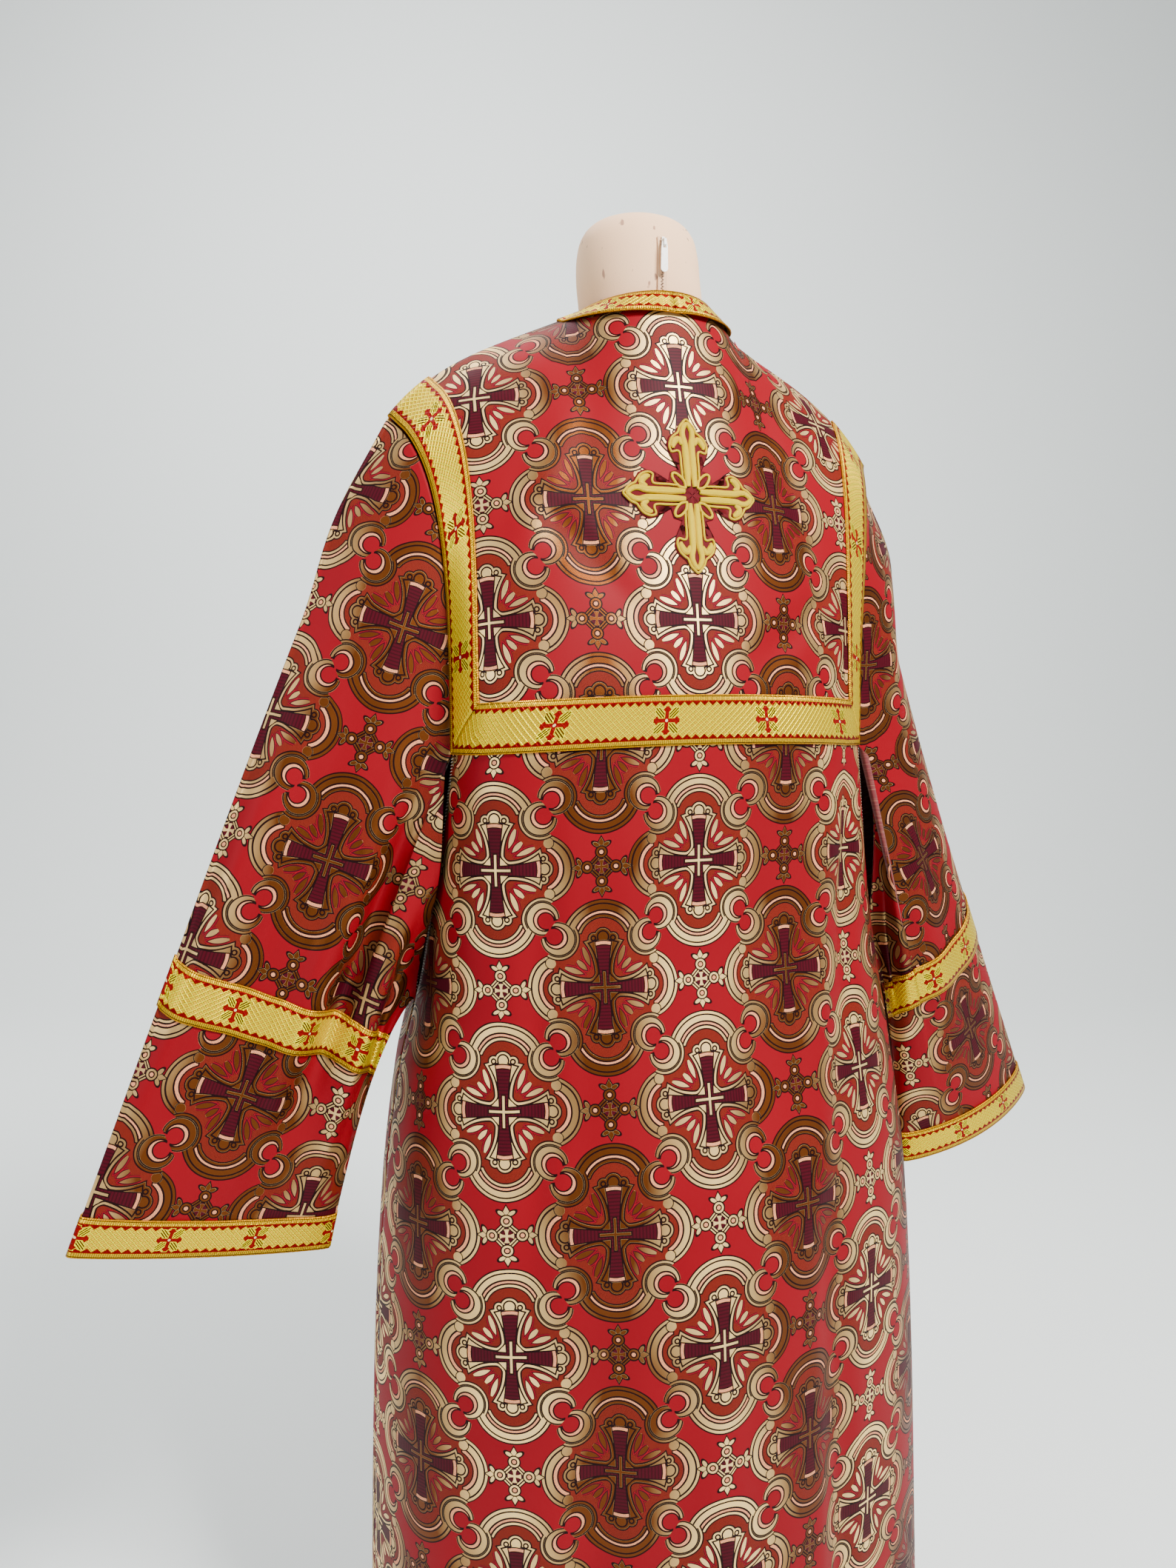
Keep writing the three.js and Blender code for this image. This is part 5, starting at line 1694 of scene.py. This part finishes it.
@dataclass
class BackCross(Piece):
    """The embroidered cross: padded gold ribs, a thin gold outline and a burgundy ground."""

    centre: Pair = (1.5, 1256.0)
    stretch: float = 1.06
    smoothing: float = 12.0
    base: float = 2.0
    path_steps: int = 6
    rib_steps: int = 8
    arm: tuple[Pair, ...] = (
        (6, 6), (10.5, 10.5), (14.5, 21), (20, 20), (22.5, 11.8), (36, 11.8), (37, 20), (44.5, 21.5),
        (51, 18.5), (56, 11.5), (62, 7), (68, 0.8),
    )

    def surface(self, cloth: Cloth) -> Callable[[Array, Array], tuple[Array, Array]]:
        """Makes a reader of the back's surface.

        Args:
            cloth: The back's cloth.

        Returns:
            A function that gives points and normals for places from the cross's centre.
        """
        quads = grid_faces(*cloth.points.shape[:2])
        tree = BVHTree.FromPolygons(cloth.points.reshape(-1, 3).tolist(), quads.tolist())

        def read(xs: Array, zs: Array) -> Array:
            """Reads points."""
            xs, zs = np.broadcast_arrays(xs, zs)
            hits = np.array([tree.ray_cast(Vector((x, 900.0, z)), Vector((0, -1, 0)))[0][1]
                             for x, z in zip(xs.ravel(), zs.ravel())]).reshape(xs.shape)
            return np.stack([xs, hits, zs], -1)

        def place(x: Array, z: Array) -> tuple[Array, Array]:
            """Reads points and the normals from points around them."""
            cx, cz = self.centre[0] + np.asarray(x, float), self.centre[1] + np.asarray(z, float)
            upward = read(cx, cz + self.smoothing) - read(cx, cz - self.smoothing)
            across = read(cx + self.smoothing, cz) - read(cx - self.smoothing, cz)
            return read(cx, cz), unit(np.cross(upward, across))

        return place

    def turned(self, along: Array, side: Array, arm: int) -> tuple[Array, Array]:
        """Returns the x and z of a place on one arm."""
        c, s = round(math.cos(arm * math.pi / 2)), round(math.sin(arm * math.pi / 2))
        along, side = np.asarray(along, float), np.asarray(side, float)
        return (c * along - s * side) * 0.97, (s * along + c * side) * self.stretch * 0.985

    def smooth_path(self, corners: Sequence[Triple]) -> Array:
        """Returns a smooth path through corners that hold a place and a half width."""
        p = np.array(corners, float)
        padded = np.concatenate([[2 * p[0] - p[1]], p, [2 * p[-1] - p[-2]]])
        out = []
        for k in range(1, len(padded) - 2):
            a, b, c, d = padded[k - 1:k + 3]
            for t in np.linspace(0, 1, self.path_steps, endpoint=False):
                out.append(0.5 * (2 * b + (c - a) * t + (2 * a - 5 * b + 4 * c - d) * t * t
                                  + (3 * b - a - 3 * c + d) * t ** 3))
        out.append(p[-1])
        return np.array(out)

    def rib(self, place: Callable, path: Array, height: float, arm: int) -> tuple[Array, list, Array]:
        """Makes a padded rib along a path on one arm.

        Args:
            place: The reader of the cloth's surface.
            path: Places along the arm, beside it, and half widths.
            height: The rib's height at its widest.
            arm: The arm's number.

        Returns:
            Vertices, faces and flat places.
        """
        segments = self.rib_steps
        x, z = self.turned(path[:, 0], path[:, 1], arm)
        flat = np.stack([x, z], -1)
        ahead = unit(np.gradient(flat, axis=0))
        side = np.stack([-ahead[:, 1], ahead[:, 0]], -1)
        turns = np.linspace(0, np.pi, segments + 1)
        wide = path[:, 2][:, None] * np.cos(turns)[None]
        tall = np.sin(turns)[None] * height * (path[:, 2] / path[:, 2].max())[:, None] ** 0.6
        spots = flat[:, None] + side[:, None] * wide[..., None]
        points, normals = place(spots[..., 0], spots[..., 1])
        vertices = points + normals * (self.base + 0.2 + tall)[..., None]
        run = distance_along(flat)
        uv = np.stack([run[:, None] + 0 * wide, wide], -1)
        count = segments + 1
        faces = grid_faces(len(path), count).tolist()
        faces += [[(r + 1) * count, r * count, r * count + segments, (r + 1) * count + segments]
                  for r in range(len(path) - 1)]
        return vertices.reshape(-1, 3), faces, uv.reshape(-1, 2)

    def ground(self, place: Callable) -> Thing:
        """Makes the burgundy ground, which follows the cloth."""
        corners = [(a, -w) for a, w in self.arm[1:]] + [(a, w) for a, w in reversed(self.arm[1:])]
        outline = np.array([self.turned(along, side, arm) for arm in range(4) for along, side in corners])
        keep = [0] + [k for k in range(1, len(outline)) if np.linalg.norm(outline[k] - outline[k - 1]) > 0.8]
        outline = outline[keep]
        rings = np.array([0.0, 0.25, 0.5, 0.75, 0.96, 1.0])
        spots = outline[None] * rings[1:, None, None]
        points, normals = place(spots[..., 0], spots[..., 1])
        centre, up = place(np.array([0.0]), np.array([0.0]))
        lift = np.array([1.0, 1.0, 1.0, 1.0, 0.2])[:, None, None]
        upper = points + normals * (self.thickness / 2 + 0.3 + (self.base - 1.2) * lift)
        lower = points[-1] + normals[-1] * (self.thickness / 2 + 0.1)
        count = len(outline)
        vertices = np.concatenate([upper.reshape(-1, 3), lower, centre + up * (self.thickness / 2 + 1.1)])
        top = len(vertices) - 1
        faces = [[top, k, (k + 1) % count] for k in range(count)]
        faces += [[a, d, c, b] for a, b, c, d in tube_faces(len(rings), count)]
        flat = np.concatenate([spots.reshape(-1, 2), outline, [[0, 0]]])
        return self.shop.piece("cross_ground", vertices, faces, [Satin()], flat)

    def build(self, cloth: Cloth) -> None:
        """Makes the ground and the gold work of all four arms."""
        place = self.surface(cloth)
        ground = self.ground(place)
        vertices, faces, flats, count = [], [], [], 0

        def mirrored(corners: Sequence[Triple]) -> list[Triple]:
            """Returns corners followed by their mirror image."""
            return list(corners) + [(a, -b, w) for a, b, w in reversed(corners[:-1])]

        rib = mirrored([(7.5, 3.3, 2.2), (20, 3.3, 3.1), (34, 3.3, 3.1), (45, 3.6, 3.0), (51, 4.8, 2.7),
                        (56, 4.6, 2.5), (60.5, 2.4, 2.2), (62.5, 0, 2.0)])
        line = mirrored([(13, 8.2, 0.9), (24, 8.8, 1.0), (36, 9.0, 1.0), (38.6, 11.5, 1.0), (37.6, 17.0, 1.0),
                         (42.5, 18.8, 1.0), (49, 16.5, 1.0), (53, 12, 1.0), (55, 9.2, 1.0), (60, 7.0, 1.0),
                         (64, 3.4, 1.0), (66.5, 0, 1.0)])
        leaves = [[(44, 6.4, 1.4), (48.4, 9.0, 2.7), (47.6, 12.4, 3.0), (43.6, 15, 2.5), (40.6, 15.2, 1.2)]]
        leaves += [[(a, -b, w) for a, b, w in leaves[0]]]
        petal = [(6.0, 6.0, 1.1), (7.8, 13, 1.2), (14, 18.2, 1.2), (18.2, 18.2, 1.2), (18.2, 14, 1.2),
                 (13, 7.8, 1.2), (6.0, 6.0, 1.1)]
        for arm in range(4):
            for corners, height in ((rib, 2.7), (line, 1.3), (leaves[0], 2.3), (leaves[1], 2.3), (petal, 1.5)):
                made = self.rib(place, self.smooth_path(corners), height, arm)
                vertices.append(made[0])
                faces += [[k + count for k in face] for face in made[1]]
                flats.append(made[2])
                count += len(made[0])
        gold = self.shop.piece("cross_gold_work", np.concatenate(vertices), faces, [GoldStitch()],
                               np.concatenate(flats))
        for made in (ground, gold):
            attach(made, self.body)
        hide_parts("back_cross")
        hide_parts("back_cross")
        log.info("back cross: %d faces of gold work", len(faces))


@dataclass
class Sewing(Piece):
    """Hand and machine stitches that show."""

    stitch: float = 4.2
    pitch: float = 13.0

    def seam(self, cloth: Cloth, column: float, first: float, last: float, inset: float) -> list[Array]:
        """Lays short stitches along a seam.

        Args:
            cloth: The cloth.
            column: The column along which the seam runs.
            first: The row where it starts.
            last: The row where it ends.
            inset: How far the stitches are from the column, in columns.

        Returns:
            The stitches' paths.
        """
        rows = np.linspace(first, last, 600)
        line = column - math.copysign(inset, column)
        run = distance_along(cloth.sample(rows, line)[0])
        lift = self.thickness / 2 + 0.25
        paths = []
        for start in np.arange(3.0, run[-1] - 6, self.pitch):
            at = np.interp(start + np.array([0, 0.2, 0.8, 1.0]) * self.stitch, run, rows)
            spots, ups, _ = cloth.sample(at, line)
            heights = np.array([-0.5, lift, lift, -0.5])[:, None]
            paths.append(spots + ups * heights)
        return paths

    def overcast(self, cloth: Cloth, rows: Pair, column: float, inward: float) -> list[Array]:
        """Lays slanting stitches over a raw edge.

        Args:
            cloth: The cloth.
            rows: Where the stitches start and end.
            column: The edge's column.
            inward: How far the stitches reach into the cloth, in columns.

        Returns:
            The stitches' paths.
        """
        paths = []
        count = int(abs(rows[1] - rows[0]) * 16)
        reach = self.thickness / 2 + 0.2
        for row in np.linspace(rows[0], rows[1], count):
            spots, ups, _ = cloth.sample(np.array([row, row + 0.02]), np.array([column, column + inward]))
            out = unit(spots[0] - spots[1])
            paths.append(np.array([
                spots[1] + ups[1] * reach, spots[0] + ups[0] * reach, spots[0] + out * 0.9,
                spots[0] - ups[0] * reach, spots[1] - ups[1] * reach,
            ]))
        return paths

    def build(self, panels: dict[Face, Cloth]) -> None:
        """Makes the side seams' stitches, the overcast slits and the tack behind the collar."""
        cut = self.cut
        white, red = Thread(), Thread("Red thread", rgb(200, 16, 26))
        seams = []
        for column in (EDGE_COLUMN, -EDGE_COLUMN):
            seams += self.seam(panels[Face.BACK], column, 0.5, cut.slit_row, 0.12)
        made = [self.shop.threads("seam_stitches", seams, 0.32, white)]
        edges = []
        for face in Face:
            for column in (EDGE_COLUMN, -EDGE_COLUMN):
                edges += self.overcast(panels[face], (cut.slit_row + 0.1, cut.yoke_row - 0.1), column,
                                       -math.copysign(0.11, column))
        made.append(self.shop.threads("overcast_edges", edges, 0.22, white, 5))
        cloth = panels[Face.BACK]
        row, column = cut.top_row - 1.45, -3.45
        spots, ups, _ = cloth.sample(np.array([row, row, row - 0.16, row + 0.16]),
                                     np.array([column - 0.16, column + 0.16, column, column]))
        lift = self.thickness / 2 + 0.4
        marks = [spots[:2] + ups[:2] * lift, spots[2:] + ups[2:] * (lift + 0.5)]
        marks = [np.array([m[0], (m[0] + m[1]) / 2, m[1]]) for m in marks]
        made.append(self.shop.threads("thread_tack", marks, 0.6, red))
        for one in made:
            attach(one, self.body)
        log.info("sewing: %d seam stitches, %d overcast stitches", len(seams), len(edges))


# ---- dress form ----
@dataclass
class DressForm(Piece):
    """Limbless form with its neck cap, zip, pole and base."""

    top_z: float = 1534.0
    crown_z: float = 1532.5
    sides: int = 96
    pole: float = 14.0
    base_radius: float = 175.0
    base_height: float = 24.0
    zip_x: float = 6.0
    zip_bottom: float = 1427.0
    zip_top: float = 1500.0
    sections: Table = field(default_factory=lambda: Table(("z", "half", "back", "front", "lean"), [
        (702, 150, 96, 84, 0), (716, 172, 116, 100, 0), (780, 177, 118, 104, 0), (860, 160, 104, 98, 0),
        (930, 146, 92, 92, 0), (1000, 155, 98, 98, 0), (1100, 166, 104, 104, 0), (1180, 168, 98, 100, 0),
        (1240, 168, 88, 90, 0), (1290, 164, 76, 76, 0), (1330, 150, 66, 64, 0), (1360, 126, 58, 56, 0),
        (1385, 96, 56, 55, 0), (1405, 74, 57, 57, 1), (1425, 62, 58, 60, 1.5), (1445, 61, 58, 59, 2.5),
        (1475, 60.5, 58.5, 58, 6), (1500, 58.5, 56.5, 56.5, 7), (1517, 52.5, 50, 50, 7),
        (1528, 38.5, 37, 37, 7), (1532.5, 18, 17, 17, 7),
    ]))

    def cover(self) -> Thing:
        """Makes the padded body and neck cap, with shallow seams down its middle."""
        zs = np.concatenate([[702, 704, 708, 714], np.arange(722, 1480, 7.0), np.arange(1480, 1516, 4.0),
                             [1518, 1521, 1524, 1526.5, 1528.8, 1530.6, 1532.0, 1532.9]])
        turns = 2 * np.pi * np.arange(self.sides) / self.sides
        rings = []
        for z in zs:
            half, back, front, lean = (float(self.sections.read(min(z, self.crown_z), name))
                                       for name in ("half", "back", "front", "lean"))
            cap = math.sqrt(max(1 - max(z - self.crown_z, 0) / (self.top_z - self.crown_z), 0.2))
            x, y = half * np.cos(turns) * cap, np.where(np.sin(turns) > 0, back, front) * np.sin(turns) * cap
            seam = np.exp(-((x - self.zip_x) / 1.5) ** 2) * (np.sin(turns) > 0) * (z < self.zip_bottom + 90)
            shrink = 1 - 0.6 * seam / np.maximum(np.hypot(x, y), 20)
            rings.append(np.stack([lean + x * shrink, y * shrink, np.full(self.sides, z)], 1))
        points = np.concatenate(rings + [[[0, 0, 702.0]], [[7.0, 0, self.top_z]]])
        n, count = self.sides, len(zs)
        faces = tube_faces(count, n)
        foot, head = len(points) - 2, len(points) - 1
        faces += [[foot, (k + 1) % n, k] for k in range(n)]
        faces += [[head, (count - 1) * n + k, (count - 1) * n + (k + 1) % n] for k in range(n)]
        made = self.shop.piece("form_cover", points, faces, [Jersey()])
        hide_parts("form_body")
        return made

    def depth(self, z: Array) -> Array:
        """Returns how far back the cover is at the zip."""
        half, lean = self.sections.read(z, "half"), self.sections.read(z, "lean")
        return self.sections.read(z, "back") * np.sqrt(1 - ((self.zip_x - lean) / half) ** 2)

    def zip_pieces(self) -> list[Thing]:
        """Makes the zip's tape and teeth."""
        z, x = np.meshgrid(np.linspace(self.zip_bottom, self.zip_top, 25),
                           self.zip_x + np.linspace(-4.5, 4.5, 7), indexing="ij")
        points = np.stack([x, self.depth(z), z], -1)
        normals = np.zeros_like(points)
        normals[..., 1] = 1.0
        flat = np.stack([x, z], -1)
        tape = self.shop.shell("zip_tape", points, normals, flat, 0.7, 1.2, [ZipTape()])
        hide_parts("form_zip")
        teeth = []
        for k, height in enumerate(np.arange(self.zip_bottom + 1, self.zip_top - 1, 1.5)):
            y = float(self.depth(height)) + 1.35
            side = 1 if k % 2 else -1
            teeth.append(np.array([[self.zip_x + side * across, y + out, height]
                                   for across, out in ((-0.5, 0), (0.9, 0.35), (1.3, 0))]))
        coil = self.shop.threads("zip_teeth", teeth, 0.32, Thread("Zip teeth", (0.1, 0.045, 0.035)))
        below = np.linspace(self.zip_bottom - 4, 1405, 12)
        seam = np.stack([np.full(12, self.zip_x), self.depth(below) + 0.15, below], -1)
        line = self.shop.threads("cover_seam", [seam], 0.35, Thread("Cover seam", rgb(186, 140, 116)), 5)
        return [tape, coil, line]

    def small_metal(self, node: str, name: str, body: str) -> Thing:
        """Makes the finished slider or pull tab: its solid with softened edges.

        Args:
            node: The node that it stands for.
            name: The piece's name.
            body: The body that it moves with.

        Returns:
            The new object.
        """
        source = frame["nodes"][node]
        made = bpy.data.objects.new(name, source.data.copy())
        bpy.context.scene.collection.objects.link(made)
        made.data.materials.clear()
        made.data.materials.append(PaleMetal().material())
        self.shop.soften(made, 0.22, 0.5)
        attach(made, body)
        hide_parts(node)
        return made

    def build(self) -> None:
        """Makes every piece of the form."""
        r, h = self.base_radius, self.base_height
        base = self.shop.lathe("base_plate", [
            (0, 0.0), (r - 1, 0.0), (r, 1.0), (r, h - 12), (r - 2, h - 8), (r - 6, h - 6), (60, h - 1.6),
            (28, h), (0, h),
        ], PowderCoat(), 96)
        p = self.pole
        pole = self.shop.lathe("steel_pole", [
            (0, h + 0.3), (p + 8, h + 0.3), (p + 8, h + 28), (p + 6, h + 32), (p, h + 40), (p, 690),
            (p + 20, 695.5), (p + 20, 701.7), (0, 701.7),
        ], PowderCoat(), 48)
        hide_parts("form_base")
        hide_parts("form_pole")
        pieces = [self.cover(), base, pole, *self.zip_pieces()]
        for made in pieces:
            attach(made, self.body)
        self.small_metal("zip_slider", "slider", MAIN_BODY)
        self.small_metal("zip_pull", "pull_tab", PULL_BODY)
        log.info("form: %d pieces, slider and pull tab", len(pieces))


# ---- studio ----
@dataclass
class Studio:
    """Camera, floor and light. Places are metres from the form's middle line."""

    shop: Workshop
    eye: Triple = (0.458, 1.100, 1.10)
    azimuth: float = 160.0
    pitch: float = 5.5
    focal_share: float = 1590.0 / 2117.0
    room_colour: Colour = (0.92, 0.97, 1.0)
    room_light: float = 0.27

    def camera(self) -> None:
        """Sets up the camera."""
        data = bpy.data.cameras.new("camera")
        data.sensor_width, data.sensor_fit, data.lens = 36.0, "AUTO", 36.0 * self.focal_share
        data.clip_start, data.clip_end = 0.01, 50.0
        camera = bpy.data.objects.new("camera", data)
        camera.location = Vector(self.eye) + Vector(self.shop.shift)
        camera.rotation_euler = (math.radians(90 - self.pitch), 0.0, math.radians(self.azimuth))
        bpy.context.scene.collection.objects.link(camera)
        bpy.context.scene.camera = camera

    def lamp(self, name: str, place: Triple, aim: Triple, size: float,
             power: float, colour: Colour) -> None:
        """Hangs one soft lamp.

        Args:
            name: The lamp's name.
            place: Where it hangs.
            aim: What it shines at.
            size: The side of its square, in metres.
            power: Its power in watts.
            colour: Its light's colour.
        """
        data = bpy.data.lights.new(name, "AREA")
        data.shape, data.size, data.energy, data.color = "SQUARE", size, power, colour
        lamp = bpy.data.objects.new(name, data)
        lamp.location = place
        lamp.rotation_euler = (Vector(aim) - Vector(place)).to_track_quat("-Z", "Y").to_euler()
        bpy.context.scene.collection.objects.link(lamp)

    def build(self) -> None:
        """Sets up the camera, the floor and the lamps."""
        self.camera()
        reach, rise = 4.2, 1.6
        turns = np.radians(np.linspace(0, 90, 13))
        profile = [(6.0, 0.0), (2.0, 0.0), (0.0, 0.0), (-reach + rise, 0.0)]
        profile += [(-reach + rise - rise * math.sin(t), rise - rise * math.cos(t)) for t in turns[1:]]
        profile += [(-reach, 6.5)]
        across = np.linspace(-9.0, 9.0, 19)
        cast = math.radians(self.azimuth - 180)
        c, s = math.cos(cast), math.sin(cast)
        points = [(side * c - depth * s, side * s + depth * c, height - 0.001)
                  for depth, height in profile for side in across]
        faces = grid_faces(len(profile), len(across))
        floor = self.shop.piece("floor_and_backdrop", np.array(points) / MM, faces.tolist(), [PaleFloor()])
        world = bpy.data.worlds.new("soft room")
        world.use_nodes = True
        room = world.node_tree.nodes["Background"].inputs
        room["Color"].default_value, room["Strength"].default_value = (*self.room_colour, 1.0), self.room_light
        bpy.context.scene.world = world
        self.lamp("ceiling", (-0.8, 2.0, 3.1), (0.0, 0.0, 1.1), 0.8, 245.0, (1.0, 0.98, 0.95))
        self.lamp("window", (2.9, 0.9, 2.0), (0.1, 0.0, 1.0), 1.0, 50.0, (0.97, 0.99, 1.0))
        self.lamp("backdrop", (0.4, -1.4, 3.6), (-0.8, -3.6, 1.0), 2.0, 170.0, (1.0, 1.0, 1.0))


def main() -> None:
    """Builds the form, the garment and the studio in order."""
    logging.basicConfig(level=logging.INFO, format="%(name)s: %(message)s")
    shop, cut = Workshop(), Cut()
    Studio(shop).build()
    DressForm(shop, cut).build()
    panels = BodyPanels(shop, cut).build()
    sleeves = Sleeves(shop, cut).build(panels)
    Trim(shop, cut).build(panels, sleeves)
    BackCross(shop, cut).build(panels[Face.BACK])
    Sewing(shop, cut).build(panels)


if __name__ == "__main__":
    main()
